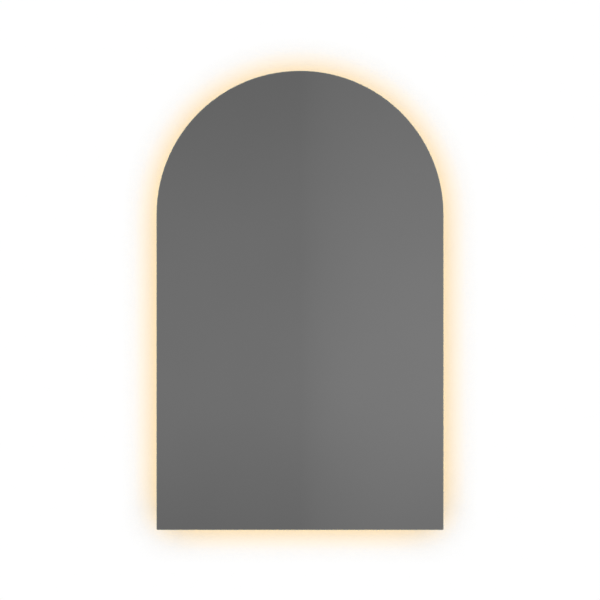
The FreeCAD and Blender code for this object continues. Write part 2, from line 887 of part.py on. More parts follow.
def hanging_bar_rivets():
    rivets = []
    for side in (-1, 1):
        for y, z in bar_rivet_places():
            tab_face = side * (inner_x - rail_sheet)
            head_end = tab_face - side * rivet_head_height
            tail_start = side * (inner_x + frame_wall)
            tail_end = tail_start + side * rivet_tail_length
            head = rod_x(rivet_head_radius, y, z, (head_end, tab_face))
            rim = [e for e in head.Edges if abs(e.CenterOfMass.x - head_end) < touch]
            head = head.makeFillet(rivet_head_height * 0.6, rim)
            shank = rod_x(rivet_radius, y, z, (tab_face, tail_start))
            tail = rod_x(rivet_tail_radius, y, z, (tail_start, tail_end))
            rivets.append(joined([head, shank, tail]))
    return group(rivets)


# Service tray


def service_tray():
    half = inner_x - tray_end_clearance
    z_ends = (tray_bottom_z, tray_top_z)
    flange_y = (tray_front_y, tray_back_y + tray_flange)
    plate = box((-half, half), (tray_front_y, tray_back_y), z_ends)
    shapes = [plate]
    shapes.append(box((-half, half), flange_y, (tray_bottom_z, tray_bottom_z + tray_sheet)))
    shapes.append(box((-half, half), flange_y, (tray_top_z - tray_sheet, tray_top_z)))
    cutters = []
    for side in (-1, 1):
        for y, z in tray_screw_places():
            tab_z = (z - tray_tab_height / 2, z + tray_tab_height / 2)
            tab_x = (side * inner_x, side * (inner_x - tray_sheet))
            shapes.append(box(tab_x, (tray_front_y, tray_back_y + tray_tab_depth), tab_z))
            foot_x = (side * inner_x, side * (half - tray_sheet))
            shapes.append(box(foot_x, (tray_front_y, tray_back_y), tab_z))
            tab_insets = (inner_inset, inner_inset + 2 * tray_sheet)
            cutters.append(side_hole(side, clear_radius, y, z, *tab_insets))
    for place in box_screw_places() + driver_lug_places() + [earth_stud_place()]:
        x, z = place
        cutters.append(hole_y(screw_radius, x, z, (tray_front_y, tray_back_y)))
    return less(joined(shapes), cutters)


def tray_screws():
    length = tray_sheet + frame_wall + tray_screw_tip
    screws = []
    for side in (-1, 1):
        for y, z in tray_screw_places():
            screws.append(screw(vec(side * (inner_x - tray_sheet), y, z), vec(side, 0, 0), length))
    return group(screws)


# Junction box


def box_screw_places():
    """Screws that hold the box to the tray, above and below the terminals."""
    middle = (box_x0 + box_x1) / 2
    inset = box_wall + screw_head_radius + box_screw_room
    return [(middle, box_z0 + inset), (middle, box_z1 - inset)]


def cover_boss_places():
    x = box_x1 - boss_inset
    return [(x, box_z0 + boss_inset), (x, box_z1 - boss_inset)]


def clamp_screw_places():
    z = box_z0 + box_wall + clamp_above_entry
    half = clamp_screw_spacing / 2
    return [(entry_x - half, z), (entry_x + half, z)]


def box_lead_exits():
    """Radius and height of each lead through the box's right wall."""
    return [(sheath_radius, tray_middle_z), (core_radius, tray_middle_z - earth_exit_drop)]


def clamp_front_y():
    """The clamp bar's face that presses on the cable."""
    return entry_y + cable_bore_radius - clamp_squeeze


def terminal_screw_places():
    x = (terminal_x0 + terminal_x1) / 2
    reach = terminal_half_height + terminal_flange / 2
    return [(x, tray_middle_z - reach), (x, tray_middle_z + reach)]


def knuckle_spans():
    """Heights of the two fixed knuckles and, between them, the cover's one."""
    middle_low = tray_middle_z - cover_knuckle_length / 2
    middle_high = middle_low + cover_knuckle_length
    low = (middle_low - knuckle_gap - fixed_knuckle_length, middle_low - knuckle_gap)
    high = (middle_high + knuckle_gap, middle_high + knuckle_gap + fixed_knuckle_length)
    return [low, high], (middle_low, middle_high)


def junction_box():
    x_ends = (box_x0, box_x1)
    z_ends = (box_z0, box_z1)
    shell = box(x_ends, (tray_back_y, box_rim_y), z_ends)
    shell = shell.makeFillet(box_wall, along_y(shell, box_depth))
    inner_x_ends = (box_x0 + box_wall, box_x1 - box_wall)
    inner_z_ends = (box_z0 + box_wall, box_z1 - box_wall)
    shell = shell.cut(box(inner_x_ends, (box_floor_y, box_rim_y + overrun), inner_z_ends))
    shapes = [shell]
    for x, z in cover_boss_places():
        shapes.append(rod_y(boss_radius, x, z, (tray_back_y, box_rim_y)))
    for x, z in clamp_screw_places():
        shapes.append(rod_y(clamp_post_radius, x, z, (tray_back_y, clamp_front_y())))
    for low, high in knuckle_spans()[0]:
        web_y = (hinge_y - knuckle_radius, hinge_y)
        shapes.append(box((hinge_x, box_x0 + box_wall / 2), (web_y[0], box_rim_y), (low, high)))
        shapes.append(rod_z(knuckle_radius, hinge_x, hinge_y, (low, high)))
    return less(joined(shapes), junction_box_cutters())


def junction_box_cutters():
    cutters = []
    for x, z in cover_boss_places():
        radius = screw_radius + cover_screw_clearance
        cutters.append(hole_y(radius, x, z, (box_rim_y - cover_screw_reach, box_rim_y)))
    for x, z in box_screw_places():
        cutters.append(hole_y(clear_radius, x, z, (tray_back_y, box_floor_y)))
    for x, z in clamp_screw_places():
        top = clamp_front_y()
        cutters.append(hole_y(screw_radius, x, z, (top - clamp_screw_grip, top)))
    for x, z in terminal_screw_places():
        cutters.append(hole_y(screw_radius, x, z, (tray_back_y, box_floor_y)))
    for low, high in knuckle_spans()[0]:
        cutters.append(rod_z(pin_radius, hinge_x, hinge_y, (low, high)))
    entry_radius = cable_bore_radius + grommet_wall
    cutters.append(hole_z(entry_radius, entry_x, entry_y, (box_z0, box_z0 + box_wall)))
    for radius, z in box_lead_exits():
        cutters.append(hole_x(bush_hole(radius), lead_y, z, (box_x1 - box_wall, box_x1)))
    return cutters


def junction_box_screws():
    screws = []
    for x, z in box_screw_places():
        screws.append(screw(vec(x, box_floor_y, z), towards_glass, box_wall + tray_sheet))
    return group(screws)


def junction_cover():
    """Flat cover with one knuckle, turning about the box's left edge."""
    fixed, (low, high) = knuckle_spans()
    y_ends = (box_rim_y, box_rim_y + cover_thickness)
    plate = box((box_x0 + knuckle_gap, box_x1), y_ends, (box_z0, box_z1))
    right = [e for e in along_y(plate, cover_thickness) if e.BoundBox.XMin > box_x1 - touch]
    plate = plate.makeFillet(box_wall, right)
    knuckle = rod_z(knuckle_radius, hinge_x, hinge_y, (low, high))
    bridge = box((hinge_x, box_x0 + box_wall), y_ends, (low, high))
    cutters = [hole_z(pin_radius + pin_clearance, hinge_x, hinge_y, (low, high))]
    for x, z in cover_boss_places():
        cutters.append(hole_y(screw_radius, x, z, (box_rim_y, y_ends[1])))
    return less(joined([plate, knuckle, bridge]), cutters)


def cover_screws():
    screws = []
    length = cover_thickness + cover_screw_reach
    for x, z in cover_boss_places():
        screws.append(screw(vec(x, box_rim_y + cover_thickness, z), towards_glass, length))
    return group(screws)


def hinge_pin():
    fixed, middle = knuckle_spans()
    return rod_z(pin_radius, hinge_x, hinge_y, (fixed[0][0], fixed[1][1]))


def cable_grommet():
    place = vec(entry_x, entry_y, box_z0)
    sizes = (cable_bore_radius, grommet_wall, grommet_flange, grommet_flange_thickness)
    return bush(place, vec(0, 0, 1), box_wall, *sizes)


def cord_clamp():
    """Bar across the incoming cable, hollowed where it presses on it."""
    z = box_z0 + box_wall + clamp_above_entry
    x_ends = (entry_x - clamp_length / 2, entry_x + clamp_length / 2)
    y_ends = (clamp_front_y(), clamp_front_y() + clamp_thickness)
    z_ends = (z - clamp_width / 2, z + clamp_width / 2)
    bar = box(x_ends, y_ends, z_ends)
    bar = bar.makeFillet(clamp_corner_radius, along_y(bar, clamp_thickness))
    cutters = [hole_z(cable_bore_radius, entry_x, entry_y, z_ends)]
    for screw_x, screw_z in clamp_screw_places():
        cutters.append(hole_y(clear_radius, screw_x, screw_z, y_ends))
    return less(bar, cutters)


def cord_clamp_screws():
    back = clamp_front_y() + clamp_thickness
    length = clamp_thickness + clamp_screw_grip
    return group([screw(vec(x, back, z), towards_glass, length) for x, z in clamp_screw_places()])


# Terminals


def pole_z(index):
    """Middle height of a pole, the live pole on top."""
    return tray_middle_z + (pole_count - 1) * pole_pitch / 2 - index * pole_pitch


def terminal_body():
    x_ends = (terminal_x0, terminal_x1)
    z_ends = (tray_middle_z - terminal_half_height, tray_middle_z + terminal_half_height)
    block = box(x_ends, (box_floor_y, terminal_back_y), z_ends)
    foot_z = (z_ends[0] - terminal_flange, z_ends[1] + terminal_flange)
    foot_x = (terminal_x0 + terminal_wall, terminal_x1 - terminal_wall)
    foot_y = (box_floor_y, box_floor_y + terminal_flange_thickness)
    foot = box(foot_x, foot_y, foot_z)
    cutters = []
    for x, z in terminal_screw_places():
        cutters.append(hole_y(clear_radius, x, z, foot_y))
    for index in range(pole_count):
        cutters += pole_cutters(pole_z(index))
    return less(joined([block, foot]), cutters)


def pole_cutters(z):
    """Cage for the metal, wire holes, lever pocket and trunnion seat of one pole."""
    cage_x = (terminal_x0 + cage_wall, terminal_x1 - cage_wall)
    cage_y = (box_floor_y + cage_floor, box_floor_y + cage_floor + cage_height)
    cage = box(cage_x, cage_y, (z - cage_half_width, z + cage_half_width))
    wires = hole_x(wire_hole_radius, wire_y, z, (terminal_x0, terminal_x1))
    half = pocket_half_width
    hub_room = lever_hub_radius + lever_side_clearance
    pocket_x = (lever_x - lever_length - lever_side_clearance, lever_x + hub_room)
    arm_floor = lever_y - lever_thickness / 2 - lever_side_clearance
    arm_pocket = box(pocket_x, (arm_floor, terminal_back_y + overrun), (z - half, z + half))
    hub_pocket = rod_z(hub_room, lever_x, lever_y, (z - half, z + half))
    reach = half + trunnion_length + trunnion_clearance - lever_side_clearance
    seat_radius = trunnion_radius + trunnion_clearance
    seat = rod_z(seat_radius, lever_x, lever_y, (z - reach, z + reach))
    return [cage, wires, arm_pocket, hub_pocket, seat]


def terminal_lever(index):
    """Lying lever with a round hub and two trunnions, and a raised finger edge."""
    z = pole_z(index)
    half = pocket_half_width - lever_side_clearance
    y_ends = (lever_y - lever_thickness / 2, lever_y + lever_thickness / 2)
    tip = lever_x - lever_length
    arm = box((tip, lever_x), y_ends, (z - half, z + half))
    finger_y = (y_ends[0], y_ends[1] + lever_tip_lift)
    finger = box((tip, tip + lever_thickness), finger_y, (z - half, z + half))
    hub = rod_z(lever_hub_radius, lever_x, lever_y, (z - half, z + half))
    reach = half + trunnion_length
    trunnion = rod_z(trunnion_radius, lever_x, lever_y, (z - reach, z + reach))
    return joined([arm, finger, hub, trunnion])


def terminal_screws():
    back = box_floor_y + terminal_flange_thickness
    length = terminal_flange_thickness + box_wall
    places = terminal_screw_places()
    return group([screw(vec(x, back, z), towards_glass, length) for x, z in places])


def terminal_bars():
    """One current bar on the floor of each cage."""
    bars = []
    half = cage_half_width - metal_clearance
    low = box_floor_y + cage_floor
    inset = cage_wall + metal_clearance
    x_ends = (terminal_x0 + inset, terminal_x1 - inset)
    for index in range(pole_count):
        z = pole_z(index)
        bars.append(box(x_ends, (low, low + bar_thickness), (z - half, z + half)))
    return group(bars)


def terminal_springs():
    """Folded leaf over each bar, that presses the incoming conductor down."""
    springs = []
    low = box_floor_y + cage_floor + bar_thickness
    high = box_floor_y + cage_floor + cage_height
    back_x = terminal_x1 - cage_wall - spring_end_room
    front_x = terminal_x0 + cage_wall + spring_end_room
    half = cage_half_width - 2 * metal_clearance
    for index in range(pole_count):
        z = pole_z(index) - half
        points = [(back_x, low), (back_x, high), (front_x, low), (front_x + 2 * spring_thickness, low)]
        points += [(back_x - spring_thickness, high - 2 * spring_thickness)]
        points += [(back_x - spring_thickness, low)]
        outline = [vec(x, y, z) for x, y in points]
        springs.append(prism(outline, vec(0, 0, 2 * half)))
    return group(springs)


# Driver


def driver_lug_places():
    """Lug screws, at opposite corners."""
    shift = driver_height / 2 - driver_lug_width / 2
    left = (driver_x0 - driver_lug / 2, tray_middle_z + shift)
    right = (driver_x1 + driver_lug / 2, tray_middle_z - shift)
    return [left, right]


def driver_post_places():
    inset = driver_wall + lid_rim_clearance + driver_post_radius
    places = []
    for x in (driver_x0 + inset, driver_x1 - inset):
        for z in (driver_z0 + inset, driver_z1 - inset):
            places.append((x, z))
    return places


def driver_lead_exits():
    """Where each end wall starts along X, with the lead's depth and radius there."""
    supply = (driver_x0, lead_y, sheath_radius)
    output = (driver_x1 - driver_wall, dc_lead_y, dc_sheath_radius)
    return [supply, output]


def driver_shell(y_ends, floor_y_ends):
    """Open shell with rounded uprights, hollow over floor_y_ends."""
    shell = box((driver_x0, driver_x1), y_ends, (driver_z0, driver_z1))
    shell = shell.makeFillet(driver_wall, along_y(shell, max(y_ends) - min(y_ends)))
    hollow_x = (driver_x0 + driver_wall, driver_x1 - driver_wall)
    hollow_z = (driver_z0 + driver_wall, driver_z1 - driver_wall)
    return shell.cut(box(hollow_x, floor_y_ends, hollow_z))


def driver_base():
    floor_y = tray_back_y + driver_wall
    shapes = [driver_shell((tray_back_y, driver_seam_y), (floor_y, driver_seam_y + overrun))]
    for x, z in driver_post_places():
        shapes.append(rod_y(driver_post_radius, x, z, (tray_back_y, board_y)))
    lug_y = (tray_back_y, tray_back_y + driver_lug_thickness)
    for x, z in driver_lug_places():
        lug_z = (z - driver_lug_width / 2, z + driver_lug_width / 2)
        shapes.append(box((x - driver_lug / 2, x + driver_lug / 2), lug_y, lug_z))
    cutters = []
    for x, z in driver_lug_places():
        cutters.append(hole_y(clear_radius, x, z, (tray_back_y, lug_y[1])))
    for x, z in driver_post_places():
        cutters.append(rod_y(screw_radius, x, z, (post_hole_y, board_y)))
    for x, y, radius in driver_lead_exits():
        cutters.append(hole_x(bush_hole(radius), y, tray_middle_z, (x, x + driver_wall)))
    return less(joined(shapes), cutters)


def driver_lid():
    inside_y = driver_back_y - driver_wall
    shapes = [driver_shell((driver_seam_y, driver_back_y), (driver_seam_y - overrun, inside_y))]
    x_ends = (driver_x0 + driver_wall + lid_rim_clearance, driver_x1 - driver_wall - lid_rim_clearance)
    z_ends = (driver_z0 + driver_wall + lid_rim_clearance, driver_z1 - driver_wall - lid_rim_clearance)
    rim_y = (driver_seam_y - lid_rim_reach, inside_y)
    rim = box(x_ends, rim_y, z_ends)
    hollow_x = (x_ends[0] + lid_rim, x_ends[1] - lid_rim)
    hollow_z = (z_ends[0] + lid_rim, z_ends[1] - lid_rim)
    hollow_y = (rim_y[0] - overrun, inside_y + overrun)
    shapes.append(rim.cut(box(hollow_x, hollow_y, hollow_z)))
    posts = driver_post_places()
    for x, z in posts:
        shapes.append(rod_y(driver_post_radius, x, z, (board_top_y, driver_back_y)))
    whole = joined(shapes)
    outer = [e for e in whole.Edges if e.BoundBox.YMin > driver_back_y - touch]
    whole = whole.makeChamfer(lid_chamfer, outer)
    cutters = []
    for x, z in posts:
        cutters.append(hole_y(clear_radius, x, z, (board_top_y, driver_back_y)))
        sunk_y = (lid_screw_seat_y, driver_back_y + overrun)
        cutters.append(rod_y(screw_head_radius + head_clearance, x, z, sunk_y))
    return less(whole, cutters)


def driver_lid_screws():
    """Long screws through lid and board into the base's posts."""
    length = lid_screw_seat_y - post_hole_y
    places = driver_post_places()
    return group([screw(vec(x, lid_screw_seat_y, z), towards_glass, length) for x, z in places])


def driver_mount_screws():
    seat = tray_back_y + driver_lug_thickness
    length = driver_lug_thickness + tray_sheet
    return group([screw(vec(x, seat, z), towards_glass, length) for x, z in driver_lug_places()])


def on_board(share):
    """Place along the board, as a share of its length from the supply end."""
    return driver_x0 + driver_wall + share * (driver_length - 2 * driver_wall)


def driver_board():
    end_inset = driver_wall + board_end_clearance
    side_inset = driver_wall + board_clearance
    x_ends = (driver_x0 + end_inset, driver_x1 - end_inset)
    z_ends = (driver_z0 + side_inset, driver_z1 - side_inset)
    plate = box(x_ends, (board_y, board_top_y), z_ends)
    holes = []
    for x, z in driver_post_places():
        holes.append(hole_y(clear_radius, x, z, (board_y, board_top_y)))
    return less(plate, holes)


def driver_transformer():
    """Core with the wound bobbin standing out of it at both sides."""
    x = on_board(transformer_x)
    top = board_top_y
    core_x = (x - transformer_length / 2, x + transformer_length / 2)
    core_z = (tray_middle_z - transformer_width / 2, tray_middle_z + transformer_width / 2)
    core = box(core_x, (top, top + transformer_height), core_z)
    winding_x = (x - bobbin_width / 2, x + bobbin_width / 2)
    winding_z = (core_z[0] - bobbin_overhang, core_z[1] + bobbin_overhang)
    winding = box(winding_x, (top, top + bobbin_height), winding_z)
    corners = [e for e in winding.Edges if e.BoundBox.XLength > bobbin_width - touch]
    return joined([core, winding.makeFillet(bobbin_corner_radius, corners)])


def driver_capacitors():
    cans = []
    top = board_top_y
    for share in capacitor_places:
        x = on_board(share)
        can = rod_y(capacitor_radius, x, tray_middle_z, (top, top + capacitor_height))
        rim = [e for e in can.Edges if e.BoundBox.YMin > top + capacitor_height - touch]
        cans.append(can.makeFillet(capacitor_edge_radius, rim))
    return group(cans)


def driver_coil():
    """Ring core of the supply filter, lying on the board."""
    x = on_board(coil_x)
    y_ends = (board_top_y, board_top_y + coil_height)
    ring = rod_y(coil_radius, x, tray_middle_z, y_ends)
    ring = ring.cut(rod_y(coil_bore_radius, x, tray_middle_z, y_ends))
    return ring.makeFillet(coil_edge_radius, ring.Edges)


def driver_heat_sink():
    """Upright plate with fins, beside the transformer."""
    x = on_board(sink_x)
    top = board_top_y
    y_ends = (top, top + sink_height)
    z0 = tray_middle_z - sink_length / 2
    plates = [box((x, x + sink_thickness), y_ends, (z0, z0 + sink_length))]
    step = (sink_length - sink_thickness) / (sink_fin_count - 1)
    for index in range(sink_fin_count):
        z = z0 + index * step
        fin_x = (x, x + sink_thickness + sink_fin_depth)
        plates.append(box(fin_x, y_ends, (z, z + sink_thickness)))
    return joined(plates)


# Leads, bushes and earth


def dc_core_places():
    """Depth and height of the two fine wires that feed the light strip."""
    half = dc_core_spacing / 2
    return [(dc_feed_y, tray_middle_z - half), (dc_feed_y, tray_middle_z + half)]


def earth_stud_place():
    return (box_x1 + driver_x0) / 2, box_z0 + earth_stud_rise


def lead_clip_x():
    return (lead_start_x + lead_end_x) / 2


def mains_lead():
    """Sheathed lead from the junction box to the driver."""
    level_run = (lead_end_x - lead_start_x) / 5
    clip_x = lead_clip_x()
    points = [vec(lead_start_x, lead_y, tray_middle_z)]
    points.append(vec(lead_start_x + level_run, lead_y, tray_middle_z))
    points.append(vec(clip_x - lead_clip_run / 2, lead_y, tray_middle_z - lead_bow))
    points.append(vec(clip_x + lead_clip_run / 2, lead_y, tray_middle_z - lead_bow))
    points.append(vec(lead_end_x - level_run, lead_y, tray_middle_z))
    points.append(vec(lead_end_x, lead_y, tray_middle_z))
    return lead("mains_lead", sheath_radius, points)


def pole_wire(name, index, shift):
    """Single wire from a terminal's right side into the end of the sheath."""
    start = wire_start_x
    span = lead_start_x - start
    z0 = pole_z(index)
    z1 = tray_middle_z + shift
    points = [vec(start, wire_y, z0), vec(start + 0.4 * span, wire_y, z0)]
    points += [vec(start + 0.75 * span, lead_y, z1), vec(lead_start_x, lead_y, z1)]
    return lead(name, core_radius, points)


def live_wire():
    return pole_wire("live_wire", 0, core_spacing / 2)


def neutral_wire():
    return pole_wire("neutral_wire", 1, -core_spacing / 2)


def earth_wire():
    """From the earth pole, through the box's side, to the ring on the tray's stud."""
    start = wire_start_x
    z0 = pole_z(2)
    exit_z = tray_middle_z - earth_exit_drop
    wall_x = box_x1 - box_wall / 2
    stud_x, stud_z = earth_stud_place()
    ring_y = tray_back_y + earth_ring_thickness + core_radius
    ring_top = stud_z + earth_ring_radius
    points = [vec(start, wire_y, z0), vec(start + 9.0, wire_y, z0)]
    points += [vec(wall_x - 7.0, lead_y, exit_z), vec(wall_x + 7.0, lead_y, exit_z)]
    points += [vec(stud_x - 1.0, (lead_y + ring_y) / 2, exit_z - 1.0)]
    points += [vec(stud_x, ring_y, ring_top + 4.5), vec(stud_x, ring_y, ring_top - 0.8)]
    return lead("earth_wire", core_radius, points)


def earth_ring():
    """Flat ring with a short barrel under the wire's end."""
    x, z = earth_stud_place()
    y_ends = (tray_back_y, tray_back_y + earth_ring_thickness)
    ring = rod_y(earth_ring_radius, x, z, y_ends)
    tongue_z = (z, z + earth_ring_radius + earth_barrel_length)
    tongue = box((x - core_radius, x + core_radius), y_ends, tongue_z)
    hole = hole_y(screw_radius, x, z, y_ends)
    return less(joined([ring, tongue]), [hole])


def earth_screw():
    x, z = earth_stud_place()
    seat = tray_back_y + earth_ring_thickness
    length = earth_ring_thickness + tray_sheet
    return screw(vec(x, seat, z), towards_glass, length, head_radius=screw_head_radius - 0.6)


def dc_lead():
    """Sheathed low voltage lead from the driver into the right leg's tube."""
    start = driver_x1 - driver_wall - sheath_end_inside / 2
    end = dc_sheath_end_x
    level_run = (end - start) / 3
    points = [vec(start, dc_lead_y, tray_middle_z)]
    points.append(vec(start + level_run, dc_lead_y, tray_middle_z))
    points.append(vec(end - level_run, dc_feed_y, tray_middle_z))
    points.append(vec(end, dc_feed_y, tray_middle_z))
    return lead("dc_lead", dc_sheath_radius, points)


def dc_cores():
    """Fine wires from the sheath, through the channel floor and onto the strip's pads."""
    start = dc_sheath_end_x
    top = floor_x + strip_thickness + dc_core_radius
    pad_y = channel_middle_y - strip_width / 2 + dc_pad_inset
    wires = []
    for name, (y, z) in zip(("dc_core_low", "dc_core_high"), dc_core_places()):
        points = [vec(start, y, z), vec(top, y, z), vec(top, pad_y, z)]
        wires.append(lead(name, dc_core_radius, points))
    return group(wires)


def junction_lead_bushes():
    bushes = []
    for radius, z in box_lead_exits():
        place = vec(box_x1 - box_wall, lead_y, z)
        bushes.append(lead_bush(place, vec(1, 0, 0), box_wall, radius))
    return group(bushes)


def driver_lead_bushes():
    bushes = []
    for x, y, radius in driver_lead_exits():
        bushes.append(lead_bush(vec(x, y, tray_middle_z), vec(1, 0, 0), driver_wall, radius))
    return group(bushes)


def frame_bush():
    place = vec(inner_x, dc_feed_y, tray_middle_z)
    return lead_bush(place, vec(1, 0, 0), frame_wall, dc_sheath_radius)


def lead_clip():
    """Saddle on the tray round the straight stretch of the sheathed lead."""
    z = tray_middle_z - lead_bow
    room = sheath_radius + clip_clearance
    outer = room + clip_wall
    x_ends = (lead_clip_x() - clip_width / 2, lead_clip_x() + clip_width / 2)
    base = box(x_ends, (tray_back_y, lead_y), (z - outer, z + outer))
    hoop = rod_x(outer, lead_y, z, x_ends)
    return less(joined([base, hoop]), [hole_x(room, lead_y, z, x_ends)])


def nodes():
    """Every separate piece by name."""
    makers = [
        wall_rail, mirror_glass, mirror_backing, bonding_tape, frame_arch, frame_bottom,
        corner_keys, corner_screws, wall_bumpers, diffuser_arch, diffuser_bottom,
        led_strip_arch, led_strip_bottom, leds, strip_resistors, strip_jumpers,
        hanging_bar, hanging_bar_rivets, service_tray, tray_screws,
        junction_box, junction_box_screws, junction_cover, cover_screws, hinge_pin,
        cable_grommet, cord_clamp, cord_clamp_screws,
        terminal_body, terminal_screws, terminal_bars, terminal_springs,
        driver_base, driver_lid, driver_lid_screws, driver_mount_screws, driver_board,
        driver_transformer, driver_capacitors, driver_coil, driver_heat_sink,
        mains_lead, live_wire, neutral_wire, earth_wire, earth_ring, earth_screw,
        dc_lead, dc_cores, junction_lead_bushes, driver_lead_bushes, frame_bush, lead_clip
    ]
    made = {maker.__name__: maker() for maker in makers}
    for index, name in enumerate(pole_names):
        made["terminal_lever_" + name] = terminal_lever(index)
    return made


def main():
    os.makedirs("parts", exist_ok=True)
    for name, shape in nodes().items():
        shape.exportStep(os.path.join("parts", name + ".step"))
        print(f"{name}: {len(shape.Solids)} solids, valid {shape.isValid()}, {shape.Volume:.1f} mm3")


main()
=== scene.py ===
import json
import math

import bpy
from mathutils import Matrix, Vector


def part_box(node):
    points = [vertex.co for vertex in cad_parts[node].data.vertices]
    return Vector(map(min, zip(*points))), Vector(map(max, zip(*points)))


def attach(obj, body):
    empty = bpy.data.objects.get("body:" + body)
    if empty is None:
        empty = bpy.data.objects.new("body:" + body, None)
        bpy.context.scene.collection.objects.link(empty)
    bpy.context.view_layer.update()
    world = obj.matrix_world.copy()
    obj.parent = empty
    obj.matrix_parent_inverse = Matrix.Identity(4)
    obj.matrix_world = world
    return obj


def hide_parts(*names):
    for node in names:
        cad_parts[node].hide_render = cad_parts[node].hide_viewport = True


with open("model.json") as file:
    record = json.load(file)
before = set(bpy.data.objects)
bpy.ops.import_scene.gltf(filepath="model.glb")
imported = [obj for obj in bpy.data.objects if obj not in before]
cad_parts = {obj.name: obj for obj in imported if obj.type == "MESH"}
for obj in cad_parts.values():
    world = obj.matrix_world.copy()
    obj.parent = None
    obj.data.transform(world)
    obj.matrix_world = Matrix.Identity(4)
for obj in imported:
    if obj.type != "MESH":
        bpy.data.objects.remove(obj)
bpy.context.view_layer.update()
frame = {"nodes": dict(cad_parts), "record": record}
nodes = frame["nodes"]

# Sizes are in metres. The glass gives the ones that follow its outline.
MM = 0.001
glass_low, glass_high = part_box("mirror_glass")
glass_middle = Vector((0, 0, (glass_low.z + glass_high.z) / 2))
arch_centre_z = glass_high.z - glass_high.x

# Channel in the frame for the light strip. Its floor stands at this X beside the legs, and at this Z below.
channel_middle_y = -18 * MM
channel_floor_x = 213.5 * MM
channel_floor_z = -443.5 * MM

# Light strip. At every third light it may be cut, and has a mark with a pair of solder pads.
strip_thickness = 0.3 * MM
light_pitch = 1 / 60
mark_pitch = 3 * light_pitch
arch_marks = 33
bottom_marks = 8
bottom_first_x = -9.5 * light_pitch
path_steps_per_mark = 8

# Faces under the ridges, where the node's own box ends at a screw or a stop
cover_face_y = -6.4 * MM
lever_face_y = -21.1 * MM

# Choke in the driver. The winding leaves a gap for its two ends.
points_per_turn = 14
wound_angle = math.radians(325)

# Studio light. A level of 1 is white, and powers are in watts.
sky_level = 0.7
soft_boxes = {
    "front_lamp": {"place": (-1.6, -2.4, 1.5), "size": 1.6, "power": 26},
    "back_lamp": {"place": (1.4, 2.0, 1.2), "size": 1.4, "power": 20},
}

# Floor and wall of the studio, each a square sheet about the middle
sheet_corners = ((-1, -1), (1, -1), (1, 1), (-1, 1))
floor_z = -1.2
floor_reach = 5.0
wall_y = 0.5 * MM
wall_reach = 1.3

# Paint of the wall, with painted shade. A spot's open share is how much of the room it sees past what stands within
# the shade's reach, and the paint's emitted white is darkened by it. The paint's colour, its response to the lamps,
# grows from the frame's share to the edge's, and ends from the outer share on: a painted fall-off of the halo.
shade_reach = 76 * MM
shade_depth = 1.8
shade_darkest = 0.38
shade_blend = 0.1
paint_white = 1.014
paint_response = 0.1
frame_share, edge_share, outer_share = 0.2, 0.62, 0.88
frame_response = 0.4

# Lamps of the halo. Their strength is in watts for each square metre.
halo_colour = "#FFCE59"
halo_strength = 160
halo_arch_gain = 1.12
halo_arch_lamps = 24
halo_past_corner = 12 * MM
halo_gap = 0.2 * MM

# Dim room that the mirror reflects, by the way that a ray leaves. Heights and places are slopes, up or across for
# each unit ahead, and gains are shares of the room's level. The turns are the way's Y, which is -1 straight ahead.
room_level, room_level_aside, room_behind = 0.178, 0.13, 0.95
aside_turns = (-0.9, -0.2)
behind_turns = (-0.3, 0.2)
least_ahead = 0.05
eye_height, top_height, foot_height = -0.05, 0.33, -0.26
top_gain, foot_gain = 0.63, 0.69
right_gain, right_fade = 1.19, 0.0283
left_gain, left_place = 0.974, -0.1

# Camera. The span is what the picture shows at the front of the glass, and lens and sensor are in millimetres.
photo_span = 1.045
photo_rise = 0.6 * MM
camera_lens = 85
camera_sensor = 36


def linear(code):
    """An sRGB hex colour as the linear colour that a socket takes."""
    shades = [int(code[i : i + 2], 16) / 255 for i in (1, 3, 5)]
    return (*[s / 12.92 if s <= 0.04045 else ((s + 0.055) / 1.055) ** 2.4 for s in shades], 1.0)


def put(tree, kind, inputs=(), **settings):
    """Adds a node with its settings. Inputs are values, hex colours, sockets, or nodes that give their first output,
    in the node's own order or by name."""
    made = tree.nodes.new(kind)
    for name, value in settings.items():
        setattr(made, name, value)
    in_use = [socket for socket in made.inputs if socket.enabled]
    for key, value in inputs.items() if isinstance(inputs, dict) else enumerate(inputs):
        socket = in_use[key] if isinstance(key, int) else next(s for s in in_use if s.name == key)
        if isinstance(value, bpy.types.Node):
            value = next(s for s in value.outputs if s.enabled)
        if isinstance(value, bpy.types.NodeSocket):
            tree.links.new(value, socket)
        else:
            socket.default_value = linear(value) if isinstance(value, str) else value
    return made


def bare_tree(owner):
    """The node tree of a material or a world, with nothing in it."""
    owner.use_nodes = True
    owner.node_tree.nodes.clear()
    return owner.node_tree


def wave_scale(pitch):
    """The scale at which the bands of a wave texture are this far apart."""
    return math.pi / (10 * pitch)


